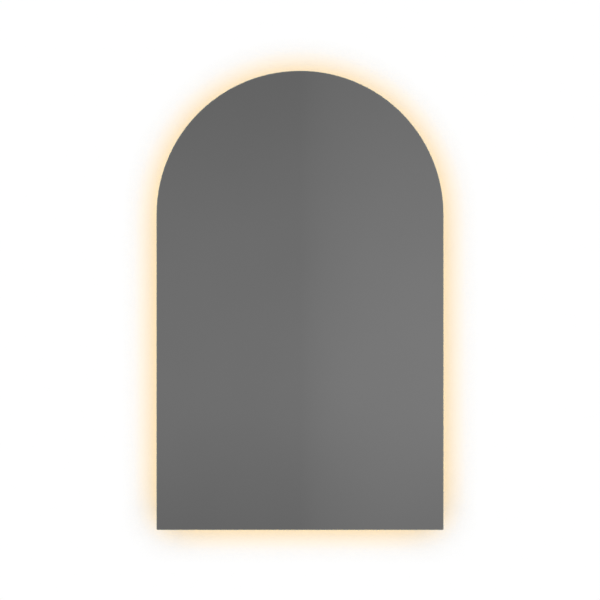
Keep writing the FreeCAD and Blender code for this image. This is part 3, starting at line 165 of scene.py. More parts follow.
class Finish:
    """A material in the making: its tree, its shader, and the place in the part that its patterns read."""

    def __init__(self, name, **constants):
        self.material = bpy.data.materials.new(name)
        self.tree = bare_tree(self.material)
        named = {key.replace("_", " "): value for key, value in constants.items()}
        self.shader = self.put("ShaderNodeBsdfPrincipled", named)
        self.put("ShaderNodeOutputMaterial", {"Surface": self.shader})
        self.place = self.put("ShaderNodeTexCoord").outputs["Object"]
        self.x, self.y, self.z = self.put("ShaderNodeSeparateXYZ", (self.place,)).outputs

    def put(self, kind, inputs=(), **settings):
        return put(self.tree, kind, inputs, **settings)

    def uneven(self, size, low=0.0, high=1.0, detail=2.0, stretch=(1, 1, 1), place=None):
        """A soft value that wanders from low to high, in patches about as wide as size."""
        spread = self.put("ShaderNodeMapping", {"Vector": place or self.place, "Scale": stretch})
        noise = self.put("ShaderNodeTexNoise", {"Vector": spread, "Scale": 1 / size, "Detail": detail})
        return self.put("ShaderNodeMapRange", (noise, 0.3, 0.7, low, high))

    def patches(self, first, second, size, **pattern):
        """A colour that wanders between two shades, in patches about as wide as size."""
        return self.put("ShaderNodeMix", (self.uneven(size, **pattern), first, second), data_type="RGBA")

    def set(self, **inputs):
        for key, made in inputs.items():
            socket = next(s for s in made.outputs if s.enabled)
            self.tree.links.new(socket, self.shader.inputs[key.replace("_", " ")])
        return self.material


# Glass and its back


def silvered_float_glass():
    """Silvered float glass: a clean neutral reflection, green where the polished edge shows the body, and a dark
    line where its arrises are."""
    f = Finish("silvered_float_glass")
    edge = f.put("ShaderNodeMapRange", (f.y, glass_low.y + 0.05 * MM, glass_low.y + 0.2 * MM, 0.0, 1.0))
    silver = f.patches("#F5F5F5", "#F1F1F1", 240 * MM)
    depth = f.put("ShaderNodeMath", (f.y, (glass_low.y + glass_high.y) / 2), operation="SUBTRACT")
    off_middle = f.put("ShaderNodeMath", (depth,), operation="ABSOLUTE")
    arris = f.put("ShaderNodeMapRange", (off_middle, 1.6 * MM, 1.8 * MM, 0.0, 1.0))
    body = f.patches("#5C8072", "#6A8F81", 14 * MM)
    side = f.put("ShaderNodeMix", (arris, body, "#3F5B51"), data_type="RGBA")
    shown = f.put("ShaderNodeMix", (edge, silver, side), data_type="RGBA")
    polish = f.put("ShaderNodeMath", (edge, 0.1, f.uneven(60 * MM, 0.004, 0.014)), operation="MULTIPLY_ADD")
    mirrored = f.put("ShaderNodeMath", (1.0, edge), operation="SUBTRACT")
    return f.set(Base_Color=shown, Metallic=mirrored, Roughness=polish)


def backing_paint_and_film():
    """Grey protective paint under a clear safety film, with a crossed thread every 4 mm that lifts it a little."""
    f = Finish("backing_paint_and_film", IOR=1.49, Coat_Weight=0.25, Coat_Roughness=0.28)
    threads = [
        f.put("ShaderNodeTexWave", (f.place, wave_scale(4 * MM)), bands_direction=way).outputs["Fac"]
        for way in ("X", "Z")
    ]
    woven = f.put("ShaderNodeMath", threads, operation="MAXIMUM")
    weave = f.put("ShaderNodeMath", (woven, 9.0), operation="POWER")
    thread_share = f.put("ShaderNodeMath", (weave, 0.35), operation="MULTIPLY")
    paint = f.patches("#868B8F", "#93989B", 55 * MM, detail=4)
    shown = f.put("ShaderNodeMix", (thread_share, paint, "#A9AEB0"), data_type="RGBA")
    swell = f.put("ShaderNodeBump", {"Height": f.uneven(38 * MM), "Distance": 0.3 * MM, "Strength": 0.35})
    lift = f.put("ShaderNodeBump", {"Height": weave, "Distance": 0.05 * MM, "Strength": 0.7, "Normal": swell})
    return f.set(Base_Color=shown, Roughness=f.uneven(20 * MM, 0.42, 0.56), Normal=lift)


def closed_cell_foam():
    """Black acrylic foam tape: dull, with open cells along its cut sides."""
    f = Finish("closed_cell_foam", IOR=1.48)
    cells = f.put("ShaderNodeTexVoronoi", {"Vector": f.place, "Scale": 1 / (0.7 * MM)})
    shown = f.put("ShaderNodeMix", (cells, "#141414", "#2B2B2C"), data_type="RGBA")
    pits = f.put("ShaderNodeBump", {"Height": cells, "Distance": 0.15 * MM})
    return f.set(Base_Color=shown, Roughness=f.uneven(3 * MM, 0.8, 0.95), Normal=pits)


# Metals


def anodised_extrusion(name, straight=False):
    """Natural anodised aluminium, extruded: satin, with die lines that run along the profile round the arch.
    Die lines are some 0.1 mm apart, and drawn 0.6 mm apart to show. They are some 80 times as long as wide."""
    f = Finish(name)
    across = f.z
    if not straight:
        above = f.put("ShaderNodeMath", (f.z, arch_centre_z), operation="SUBTRACT")
        above = f.put("ShaderNodeMath", (above, 0.0), operation="MAXIMUM")
        spoke = f.put("ShaderNodeCombineXYZ", {"X": f.x, "Z": above})
        across = f.put("ShaderNodeVectorMath", (spoke,), operation="LENGTH").outputs["Value"]
    along = f.put("ShaderNodeMath", (f.x, f.z), operation="ADD")
    along = f.put("ShaderNodeMath", (along, 0.012), operation="MULTIPLY")
    section = f.put("ShaderNodeCombineXYZ", (across, f.y, along)).outputs[0]
    lines = f.uneven(0.6 * MM, detail=3, place=section)
    tone = f.put("ShaderNodeMath", (lines, 0.55, f.uneven(45 * MM, 0, 0.45)), operation="MULTIPLY_ADD")
    shown = f.put("ShaderNodeMix", (tone, "#B9BCBE", "#D2D4D5"), data_type="RGBA")
    drawn = f.put("ShaderNodeBump", {"Height": lines, "Distance": 0.02 * MM, "Strength": 0.5})
    satin = f.put("ShaderNodeMapRange", (lines, 0.0, 1.0, 0.34, 0.46))
    return f.set(Base_Color=shown, Metallic=f.uneven(30 * MM, 0.86, 0.96), Roughness=satin, Normal=drawn)


def cast_aluminium():
    """Die-cast aluminium: grey, with a skin of flow marks and small pits."""
    f = Finish("cast_aluminium", Metallic=0.9)
    skin = f.patches("#83868A", "#A0A3A6", 3 * MM, detail=4)
    pits = f.put("ShaderNodeBump", {"Height": f.uneven(0.8 * MM, detail=4), "Distance": 0.08 * MM})
    return f.set(Base_Color=skin, Roughness=f.uneven(2 * MM, 0.45, 0.65), Normal=pits)


def rolled_aluminium():
    """Bare aluminium of rivets and of the heat sink: bright, with fine scratches."""
    f = Finish("rolled_aluminium", Metallic=1.0)
    scratches = f.uneven(0.5 * MM, detail=3, stretch=(1, 1, 0.15))
    shown = f.put("ShaderNodeMix", (scratches, "#C3C5C7", "#E0E1E2"), data_type="RGBA")
    dulled = f.put("ShaderNodeMapRange", (scratches, 0.0, 1.0, 0.26, 0.4))
    scored = f.put("ShaderNodeBump", {"Height": scratches, "Distance": 0.01 * MM, "Strength": 0.5})
    return f.set(Base_Color=shown, Roughness=dulled, Normal=scored)


def galvanised_sheet():
    """Hot-dip galvanised sheet: zinc crystals 6 mm wide, each with its own grey and its own sheen."""
    f = Finish("galvanised_sheet", Metallic=1.0)
    wobble = f.put("ShaderNodeTexNoise", {"Vector": f.place, "Scale": 1 / (5 * MM)}).outputs["Color"]
    shift = f.put("ShaderNodeVectorMath", {"Vector": wobble, "Scale": 4 * MM}, operation="SCALE")
    bent = f.put("ShaderNodeVectorMath", (f.place, shift), operation="ADD")
    crystals = f.put("ShaderNodeTexVoronoi", {"Vector": bent, "Scale": 1 / (6 * MM)}).outputs["Color"]
    grey, sheen, _ = f.put("ShaderNodeSeparateColor", (crystals,)).outputs
    shown = f.put("ShaderNodeMix", (grey, "#A7ACAF", "#C6CACC"), data_type="RGBA")
    dulled = f.put("ShaderNodeMapRange", (sheen, 0.0, 1.0, 0.32, 0.52))
    skin = f.put("ShaderNodeBump", {"Height": f.uneven(1.4 * MM, detail=4), "Distance": 0.02 * MM, "Strength": 0.6})
    return f.set(Base_Color=shown, Roughness=dulled, Normal=skin)


def zinc_plated_steel():
    """Bright zinc on screws and pins: a little yellow and blue in patches, with rubbed high spots."""
    f = Finish("zinc_plated_steel", Metallic=1.0)
    passivated = f.patches("#B9BEC4", "#D3D0C2", 1.2 * MM, detail=3)
    rubbed = f.put("ShaderNodeBump", {"Height": f.uneven(0.4 * MM), "Distance": 0.01 * MM, "Strength": 0.5})
    return f.set(Base_Color=passivated, Roughness=f.uneven(0.6 * MM, 0.22, 0.38), Normal=rubbed)


def tinned_copper():
    """Tinned copper bars, rings and pads: warm grey, with the copper showing through in places."""
    f = Finish("tinned_copper", Metallic=1.0)
    tin = f.patches("#C9C2B4", "#C7A98A", 1.5 * MM, detail=3)
    return f.set(Base_Color=tin, Roughness=f.uneven(0.8 * MM, 0.28, 0.42))


def stainless_leaf():
    """Stainless spring leaf: bright, with rolling lines along X. They are drawn 0.3 mm apart to show."""
    f = Finish("stainless_leaf", Metallic=1.0)
    lines = f.uneven(0.3 * MM, stretch=(0.05, 1, 1))
    shown = f.put("ShaderNodeMix", (lines, "#A9ABAD", "#C4C6C8"), data_type="RGBA")
    rolled = f.put("ShaderNodeMapRange", (lines, 0.0, 1.0, 0.22, 0.34))
    return f.set(Base_Color=shown, Roughness=rolled)


# Light


def lit_opal_acrylic(name, straight=False):
    """Opal acrylic, lit from behind: a warm glow, with a soft brighter spot over each light of the strip. A spot fades
    out 12 mm from the strip's middle line."""
    f = Finish(name, Emission_Strength=1.0)
    run = f.x
    if not straight:
        side = f.put("ShaderNodeMath", (f.x,), operation="ABSOLUTE")
        rise = f.put("ShaderNodeMath", (f.z, arch_centre_z), operation="SUBTRACT")
        above = f.put("ShaderNodeMath", (rise, 0.0), operation="MAXIMUM")
        below = f.put("ShaderNodeMath", (rise, 0.0), operation="MINIMUM")
        turn = f.put("ShaderNodeMath", (side, above), operation="ARCTAN2")
        arc = f.put("ShaderNodeMath", (turn, channel_floor_x, light_pitch / 2), operation="MULTIPLY_ADD")
        run = f.put("ShaderNodeMath", (arc, below), operation="SUBTRACT")
    phase = f.put("ShaderNodeMath", (run, 2 * math.pi / light_pitch), operation="MULTIPLY")
    ripple = f.put("ShaderNodeMath", (phase,), operation="COSINE")
    crest = f.put("ShaderNodeMapRange", (ripple, -1.0, 1.0, 0.0, 1.0))
    off_middle = f.put("ShaderNodeMath", (f.y, channel_middle_y), operation="SUBTRACT")
    off_middle = f.put("ShaderNodeMath", (off_middle,), operation="ABSOLUTE")
    inward = f.put("ShaderNodeMapRange", (off_middle, 0.0, 12 * MM, 1.0, 0.0), interpolation_type="SMOOTHSTEP")
    spot = f.put("ShaderNodeMath", (crest, inward), operation="MULTIPLY")
    warm = f.put("ShaderNodeMix", (spot, "#E3AC6B", "#FFCD93"), data_type="RGBA")
    opal = f.patches("#DDD8CB", "#E3DED2", 9 * MM)
    return f.set(Base_Color=opal, Emission_Color=warm, Roughness=f.uneven(5 * MM, 0.36, 0.46))


def flexible_board():
    """White flexible circuit under the lights: satin ink, with copper tracks faint beneath."""
    f = Finish("flexible_board", IOR=1.5)
    wave = f.put("ShaderNodeTexWave", (f.place, wave_scale(3 * MM)), bands_direction="Y").outputs["Fac"]
    tracks = f.put("ShaderNodeMath", (wave, 6.0), operation="POWER")
    shown = f.put("ShaderNodeMix", (tracks, "#F1F1EC", "#E3DCC8"), data_type="RGBA")
    raised = f.put("ShaderNodeBump", {"Height": tracks, "Distance": 0.03 * MM})
    return f.set(Base_Color=shown, Roughness=f.uneven(2 * MM, 0.42, 0.55), Normal=raised)


def light_chip():
    """Light chip: yellow phosphor under clear silicone."""
    f = Finish("light_chip", IOR=1.41)
    phosphor = f.patches("#F0C94A", "#F7DF86", 0.8 * MM)
    return f.set(Base_Color=phosphor, Roughness=f.uneven(0.5 * MM, 0.2, 0.35))


def chip_resistor():
    """Chip resistor: black glaze with a fine grit."""
    f = Finish("chip_resistor", IOR=1.6)
    glaze = f.patches("#151515", "#262626", 0.3 * MM)
    return f.set(Base_Color=glaze, Roughness=f.uneven(0.5 * MM, 0.3, 0.5))


# Plastics and rubbers


def moulded_plastic(name, first, second, grain=0.5 * MM, smoothest=0.4, **constants):
    """Injection-moulded plastic: a fine spark-eroded grain, drawn 0.3 to 0.5 mm wide to show, and faint flow marks."""
    f = Finish(name, **constants)
    pits = f.uneven(grain)
    flow = f.uneven(26 * MM, 0, 0.65, detail=1, stretch=(0.4, 1, 1))
    tone = f.put("ShaderNodeMath", (pits, 0.35, flow), operation="MULTIPLY_ADD")
    shown = f.put("ShaderNodeMix", (tone, first, second), data_type="RGBA")
    rough = f.put("ShaderNodeMapRange", (pits, 0.0, 1.0, smoothest, smoothest + 0.14))
    eroded = f.put("ShaderNodeBump", {"Height": pits, "Distance": 0.04 * MM, "Strength": 0.45})
    return f.set(Base_Color=shown, Roughness=rough, Normal=eroded)


def black_rubber():
    """Moulded black rubber of bushes and grommets: dull, with a bloom of grey."""
    f = Finish("black_rubber", IOR=1.52)
    bloom = f.patches("#161616", "#2A2A2B", 2.5 * MM, detail=3)
    skin = f.put("ShaderNodeBump", {"Height": f.uneven(0.5 * MM), "Distance": 0.04 * MM})
    return f.set(Base_Color=bloom, Roughness=f.uneven(1.2 * MM, 0.6, 0.8), Normal=skin)


def clear_polyurethane():
    """Soft clear bumper: milky, with the metal behind it showing through."""
    f = Finish("clear_polyurethane", IOR=1.5, Transmission_Weight=0.35)
    milky = f.patches("#D9DBD8", "#E4E5E2", 4 * MM)
    return f.set(Base_Color=milky, Roughness=f.uneven(3 * MM, 0.2, 0.3))


def drawn_cover(name, first, second, smoothest=0.34):
    """Drawn PVC cover of a lead: soft gloss, with faint rings where it was bent."""
    f = Finish(name, IOR=1.53)
    rings = f.uneven(3.5 * MM, detail=1)
    shown = f.put("ShaderNodeMix", (rings, first, second), data_type="RGBA")
    rough = f.put("ShaderNodeMapRange", (rings, 0.0, 1.0, smoothest, smoothest + 0.1))
    creased = f.put("ShaderNodeBump", {"Height": rings, "Distance": 0.02 * MM, "Strength": 0.2})
    return f.set(Base_Color=shown, Roughness=rough, Normal=creased)


def two_colour_cover():
    """Drawn PVC cover of the earth wire: green, with a yellow stripe along each side."""
    f = Finish("two_colour_cover", IOR=1.53)
    facing = f.put("ShaderNodeTexCoord").outputs["Normal"]
    slant = f.put("ShaderNodeVectorMath", (facing, (0.5, 0.0, 0.85)), operation="DOT_PRODUCT").outputs["Value"]
    aside = f.put("ShaderNodeMath", (slant,), operation="ABSOLUTE")
    stripe = f.put("ShaderNodeMapRange", (aside, 0.5, 0.6, 0.0, 1.0))
    green = f.patches("#2E8A2C", "#3A9A33", 1.6 * MM)
    shown = f.put("ShaderNodeMix", (stripe, green, "#E8D327"), data_type="RGBA")
    return f.set(Base_Color=shown, Roughness=f.uneven(2 * MM, 0.32, 0.44))


# Inside the driver


def circuit_board():
    """Glass-fibre board under a green mask: lighter over the copper, which is cut into areas by fine dark gaps."""
    f = Finish("circuit_board", IOR=1.55)
    face = f.put("ShaderNodeCombineXYZ", (f.x, f.z))
    areas = f.put("ShaderNodeTexVoronoi", {"Vector": face, "Scale": 1 / (9 * MM)}, feature="DISTANCE_TO_EDGE")
    copper = f.put("ShaderNodeMapRange", (areas, 0.03, 0.06, 0.0, 1.0))
    mask = f.put("ShaderNodeMix", (copper, "#15502E", "#24703F"), data_type="RGBA")
    raised = f.put("ShaderNodeBump", {"Height": copper, "Distance": 0.05 * MM})
    return f.set(Base_Color=mask, Roughness=f.uneven(0.5 * MM, 0.32, 0.44), Normal=raised)


def ferrite_and_tape():
    """Transformer: black sintered ferrite with a grain, and yellow polyester tape on the winding that stands out."""
    f = Finish("ferrite_and_tape", IOR=1.6)
    low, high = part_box("driver_transformer")
    core_end = 11 * MM
    offset = f.put("ShaderNodeMath", (f.z, (low.z + high.z) / 2), operation="SUBTRACT")
    reach = f.put("ShaderNodeMath", (offset,), operation="ABSOLUTE")
    taped = f.put("ShaderNodeMapRange", (reach, core_end, core_end + 0.1 * MM, 0.0, 1.0))
    grain = f.uneven(0.4 * MM, detail=3)
    core = f.put("ShaderNodeMix", (grain, "#1C1B1C", "#343234"), data_type="RGBA")
    tape = f.patches("#D9B23A", "#E8C75A", 4 * MM, stretch=(1, 0.2, 1))
    shown = f.put("ShaderNodeMix", (taped, core, tape), data_type="RGBA")
    rough = f.put("ShaderNodeMapRange", (grain, 0.0, 1.0, 0.36, 0.56))
    pits = f.put("ShaderNodeBump", {"Height": grain, "Distance": 0.05 * MM, "Strength": 0.5})
    return f.set(Base_Color=shown, Roughness=rough, Normal=pits)


def capacitor_sleeve():
    """Capacitor: a dark shrunk sleeve, and bare aluminium on top of the can."""
    f = Finish("capacitor_sleeve", IOR=1.5)
    top_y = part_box("driver_capacitors")[1].y
    bare = f.put("ShaderNodeMapRange", (f.y, top_y - 0.5 * MM, top_y - 0.3 * MM, 0.0, 1.0))
    sleeve = f.patches("#16191F", "#242933", 2 * MM)
    shown = f.put("ShaderNodeMix", (bare, sleeve, "#C9CBCC"), data_type="RGBA")
    return f.set(Base_Color=shown, Metallic=bare, Roughness=f.uneven(1 * MM, 0.26, 0.4))


def enamelled_copper():
    """Enamelled winding wire: deep copper under clear lacquer."""
    f = Finish("enamelled_copper", Metallic=1.0, Coat_Weight=0.4, Coat_Roughness=0.15)
    wire = f.patches("#B4592B", "#CF7A42", 1.5 * MM)
    return f.set(Base_Color=wire, Roughness=f.uneven(0.8 * MM, 0.24, 0.36))


def make_finishes():
    """One finish for each material slot of the record, by the slot's name."""
    return {
        "galvanised_steel": galvanised_sheet(),
        "zinc_plated_steel": zinc_plated_steel(),
        "mirror_glass": silvered_float_glass(),
        "backing_film": backing_paint_and_film(),
        "foam_tape": closed_cell_foam(),
        "anodised_aluminium": anodised_extrusion("anodised_extrusion"),
        "cast_aluminium": cast_aluminium(),
        "rivet_aluminium": rolled_aluminium(),
        "clear_rubber": clear_polyurethane(),
        "opal_diffuser": lit_opal_acrylic("lit_opal_acrylic"),
        "flexible_board": flexible_board(),
        "warm_light": light_chip(),
        "black_ceramic": chip_resistor(),
        "jumper_cover": drawn_cover("red_jumper_cover", "#A81C16", "#BE2B22"),
        "box_plastic": moulded_plastic("box_polycarbonate", "#D3D3CF", "#DBDBD7", IOR=1.58),
        "driver_plastic": moulded_plastic("driver_polycarbonate", "#DADAD8", "#E1E1DF", smoothest=0.36, IOR=1.58),
        "black_rubber": black_rubber(),
        "terminal_plastic": moulded_plastic("terminal_polyamide", "#6B6E70", "#787B7D", 0.3 * MM, IOR=1.53),
        "tinned_copper": tinned_copper(),
        "spring_steel": stainless_leaf(),
        "brown_plastic": moulded_plastic("brown_polyamide", "#5A3420", "#66402A", 0.3 * MM, 0.3, IOR=1.53),
        "blue_plastic": moulded_plastic("blue_polyamide", "#2C5FA8", "#3A6DB5", 0.3 * MM, 0.3, IOR=1.53),
        "green_yellow_plastic": moulded_plastic("green_polyamide", "#4F9A2E", "#7FB03A", 0.3 * MM, 0.3, IOR=1.53),
        "circuit_board": circuit_board(),
        "ferrite_and_tape": ferrite_and_tape(),
        "capacitor_sleeve": capacitor_sleeve(),
        "coil_copper": enamelled_copper(),
        "white_sheath": drawn_cover("white_sheath", "#D8D8D4", "#DDDDD9", 0.4),
        "black_sheath": drawn_cover("black_sheath", "#17181A", "#222325", 0.46),
        "brown_cover": drawn_cover("brown_cover", "#56301B", "#633A23"),
        "blue_cover": drawn_cover("blue_cover", "#2456A3", "#2F63B0"),
        "green_yellow_cover": two_colour_cover(),
        "red_cover": drawn_cover("red_cover", "#A81E19", "#BC2C25"),
    }


def finish_nodes(finishes):
    """Gives each CAD node the finish of its slot. The straight lower lengths have finishes of their own."""
    for part in frame["record"]["subparts"]:
        nodes[part["node"]].material_slots[0].material = finishes[part["material_slot"]]
    nodes["frame_bottom"].material_slots[0].material = anodised_extrusion("anodised_extrusion_bottom", True)
    nodes["diffuser_bottom"].material_slots[0].material = lit_opal_acrylic("lit_opal_acrylic_bottom", True)


# Pieces made by nodes


def start_tree(name, **inputs):
    """A Geometry Nodes tree with a named input for each size, and the sockets that these give inside it."""
    tree = bpy.data.node_groups.new(name, "GeometryNodeTree")
    for label, kind in {"Geometry": "Geometry", **inputs, "Finish": "Material"}.items():
        tree.interface.new_socket(name=label.replace("_", " "), in_out="INPUT", socket_type="NodeSocket" + kind)
    tree.interface.new_socket(name="Geometry", in_out="OUTPUT", socket_type="NodeSocketGeometry")
    return tree, put(tree, "NodeGroupInput").outputs


def end_tree(tree, shape, sizes, smooth=True):
    """Realises the instances and sets the finish."""
    real = put(tree, "GeometryNodeRealizeInstances", (shape,))
    painted_shade_glow = put(tree, "GeometryNodeSetShadeSmooth", {"Geometry": real, "Shade Smooth": smooth})
    dressed = put(tree, "GeometryNodeSetMaterial", {"Geometry": painted_shade_glow, "Material": sizes["Finish"]})
    put(tree, "NodeGroupOutput", (dressed,))
    return tree


def grow(name, tree, body, slot, sizes, path=()):
    """Runs a tree with these sizes on a holder, and keeps what it makes as a plain piece that rides on a body."""
    mesh = bpy.data.meshes.new(name + "_path")
    mesh.from_pydata(path, [(i, i + 1) for i in range(len(path) - 1)], [])
    holder = bpy.data.objects.new(name + "_holder", mesh)
    bpy.context.scene.collection.objects.link(holder)
    modifier = holder.modifiers.new(name, "NODES")
    modifier.node_group = tree
    values = {"Finish": finishes[slot], **sizes}
    for item in tree.interface.items_tree:
        if item.in_out == "INPUT" and item.name in values:
            modifier[item.identifier] = values[item.name]
    evaluated = holder.evaluated_get(bpy.context.evaluated_depsgraph_get())
    piece = bpy.data.objects.new(name, bpy.data.meshes.new_from_object(evaluated))
    bpy.data.objects.remove(holder)
    bpy.context.scene.collection.objects.link(piece)
    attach(piece, body)
    return piece


def rib_tree():
    """A row of rounded ribs along Z, one beside the other in X, each half sunk in the face that carries it."""
    lengths = dict.fromkeys(("Spacing", "Length", "Width", "Height"), "Float")
    tree, sizes = start_tree("raised_ribs", Count="Int", First="Vector", **lengths)
    half = put(tree, "ShaderNodeMath", (sizes["Width"], 0.5), operation="MULTIPLY")
    section = put(tree, "ShaderNodeCombineXYZ", (half, sizes["Height"], half))
    bead = put(tree, "GeometryNodeMeshUVSphere", {"Segments": 16, "Rings": 9, "Radius": 1.0})
    bead = put(tree, "GeometryNodeTransform", {"Geometry": bead, "Scale": section})
    spot = put(tree, "ShaderNodeSeparateXYZ", (put(tree, "GeometryNodeInputPosition"),)).outputs["Z"]
    end = put(tree, "ShaderNodeMath", (spot,), operation="SIGN")
    straight = put(tree, "ShaderNodeMath", (sizes["Length"], sizes["Width"]), operation="SUBTRACT")
    straight = put(tree, "ShaderNodeMath", (straight, 0.5), operation="MULTIPLY")
    pull = put(tree, "ShaderNodeMath", (end, straight), operation="MULTIPLY")
    offset = put(tree, "ShaderNodeCombineXYZ", {"Z": pull})
    drawn = put(tree, "GeometryNodeSetPosition", {"Geometry": bead, "Offset": offset})
    stride = put(tree, "ShaderNodeCombineXYZ", {"X": sizes["Spacing"]})
    places = put(tree, "GeometryNodeMeshLine", (sizes["Count"], sizes["First"], stride))
    row = put(tree, "GeometryNodeInstanceOnPoints", {"Points": places, "Instance": drawn})
    return end_tree(tree, row, sizes)


def pad_tree():
    """Solder pads in pairs across a strip, at even steps along its path, flat on the strip's outer face."""
    lengths = dict.fromkeys(("Radius", "Height", "Apart"), "Float")
    tree, sizes = start_tree("solder_pads", Count="Int", **lengths)
    round_pad = {"Vertices": 14, "Radius": sizes["Radius"], "Depth": sizes["Height"]}
    pad = put(tree, "GeometryNodeMeshCylinder", round_pad)
    step = put(tree, "ShaderNodeCombineXYZ", {"Y": sizes["Apart"]})
    pair = put(tree, "GeometryNodeMeshLine", {"Count": 2, "Offset": step})
    back = put(tree, "ShaderNodeMath", (sizes["Apart"], -0.5), operation="MULTIPLY")
    back = put(tree, "ShaderNodeCombineXYZ", {"Y": back})
    centred = put(tree, "GeometryNodeTransform", {"Geometry": pair, "Translation": back})
    pads = put(tree, "GeometryNodeInstanceOnPoints", {"Points": centred, "Instance": pad})
    line = put(tree, "GeometryNodeMeshToCurve", (sizes["Geometry"],))
    marks = put(tree, "GeometryNodeResampleCurve", {"Curve": line, "Count": sizes["Count"]})
    along = put(tree, "GeometryNodeInputTangent")
    outward = put(tree, "ShaderNodeVectorMath", (along, (0.0, 1.0, 0.0)), operation="CROSS_PRODUCT")
    turn = put(tree, "FunctionNodeAlignRotationToVector", {"Vector": outward}, axis="Z", pivot_axis="Y")
    row = put(tree, "GeometryNodeInstanceOnPoints", {"Points": marks, "Instance": pads, "Rotation": turn})
    return end_tree(tree, row, sizes, False)


def winding_tree():
    """Wire wound round a ring, in one layer of even turns. The ring lies flat on the board, facing +Y."""
    lengths = dict.fromkeys(("Ring_Radius", "Half_Width", "Half_Height", "Wire_Radius"), "Float")
    tree, sizes = start_tree("wound_ring", Turns="Int", Middle="Vector", **lengths)
    points = put(tree, "ShaderNodeMath", (sizes["Turns"], points_per_turn), operation="MULTIPLY")
    line = put(tree, "GeometryNodeCurvePrimitiveLine")
    line = put(tree, "GeometryNodeResampleCurve", {"Curve": line, "Count": points})
    run = put(tree, "GeometryNodeSplineParameter").outputs["Factor"]
    turns = put(tree, "ShaderNodeMath", (sizes["Turns"], 2 * math.pi), operation="MULTIPLY")
    inner = put(tree, "ShaderNodeMath", (run, turns), operation="MULTIPLY")
    outer = put(tree, "ShaderNodeMath", (run, wound_angle), operation="MULTIPLY")
    swing = put(tree, "ShaderNodeMath", (inner,), operation="COSINE")
    radius = put(tree, "ShaderNodeMath", (swing, sizes["Half Width"], sizes["Ring Radius"]), operation="MULTIPLY_ADD")
    lift = put(tree, "ShaderNodeMath", (inner,), operation="SINE")
    lift = put(tree, "ShaderNodeMath", (lift, sizes["Half Height"]), operation="MULTIPLY")
    x = put(tree, "ShaderNodeMath", (outer,), operation="COSINE")
    x = put(tree, "ShaderNodeMath", (radius, x), operation="MULTIPLY")
    z = put(tree, "ShaderNodeMath", (outer,), operation="SINE")
    z = put(tree, "ShaderNodeMath", (radius, z), operation="MULTIPLY")
    spot = put(tree, "ShaderNodeCombineXYZ", (x, lift, z))
    spot = put(tree, "ShaderNodeVectorMath", (spot, sizes["Middle"]))
    wound = put(tree, "GeometryNodeSetPosition", {"Geometry": line, "Position": spot})
    wire = put(tree, "GeometryNodeCurvePrimitiveCircle", {"Resolution": 6, "Radius": sizes["Wire Radius"]})
    tube = put(tree, "GeometryNodeCurveToMesh", {"Curve": wound, "Profile Curve": wire, "Fill Caps": True})
    return end_tree(tree, tube, sizes)


def core_tree():
    """A ring of rounded square section, lying flat on the board, facing +Y."""
    lengths = dict.fromkeys(("Ring_Radius", "Width", "Height", "Corner"), "Float")
    tree, sizes = start_tree("ferrite_ring", Middle="Vector", **lengths)
    ring = put(tree, "GeometryNodeCurvePrimitiveCircle", {"Resolution": 40, "Radius": sizes["Ring Radius"]})
    sides = {"Width": sizes["Width"], "Height": sizes["Height"]}
    square = put(tree, "GeometryNodeCurvePrimitiveQuadrilateral", sides)
    rounding = {"Curve": square, "Count": 4, "Radius": sizes["Corner"]}
    rounded = put(tree, "GeometryNodeFilletCurve", rounding, mode="POLY")
    solid = put(tree, "GeometryNodeCurveToMesh", {"Curve": ring, "Profile Curve": rounded})
    turned = put(tree, "GeometryNodeTransform", {"Geometry": solid, "Rotation": (math.pi / 2, 0, 0)})
    placed = put(tree, "GeometryNodeTransform", {"Geometry": turned, "Translation": sizes["Middle"]})
    return end_tree(tree, placed, sizes)


def on_strip(run):
    """The strip's outer face at a distance from the top of the arch, along the arch and down the leg."""
    radius = channel_floor_x + strip_thickness
    quarter = math.pi / 2 * channel_floor_x
    angle = math.copysign(min(abs(run), quarter), run) / channel_floor_x
    drop = max(abs(run) - quarter, 0)
    return (radius * math.sin(angle), channel_middle_y, arch_centre_z + radius * math.cos(angle) - drop)


def solder_pads():
    """Pads at the marks where the strip may be cut, every third light."""
    tree = pad_tree()
    sizes = {"Radius": 1.1 * MM, "Height": 0.12 * MM, "Apart": 6.2 * MM}
    reach = (arch_marks - 1) / 2 * mark_pitch
    steps = path_steps_per_mark * (arch_marks - 1)
    path = [on_strip(reach * (2 * i / steps - 1)) for i in range(steps + 1)]
    grow("strip_pads_arch", tree, "mirror", "tinned_copper", {**sizes, "Count": arch_marks}, path)
    low = channel_floor_z - strip_thickness
    length = (bottom_marks - 1) * mark_pitch
    ends = [(bottom_first_x + run, channel_middle_y, low) for run in (length, 0)]
    grow("strip_pads_bottom", tree, "mirror", "tinned_copper", {**sizes, "Count": bottom_marks}, ends)


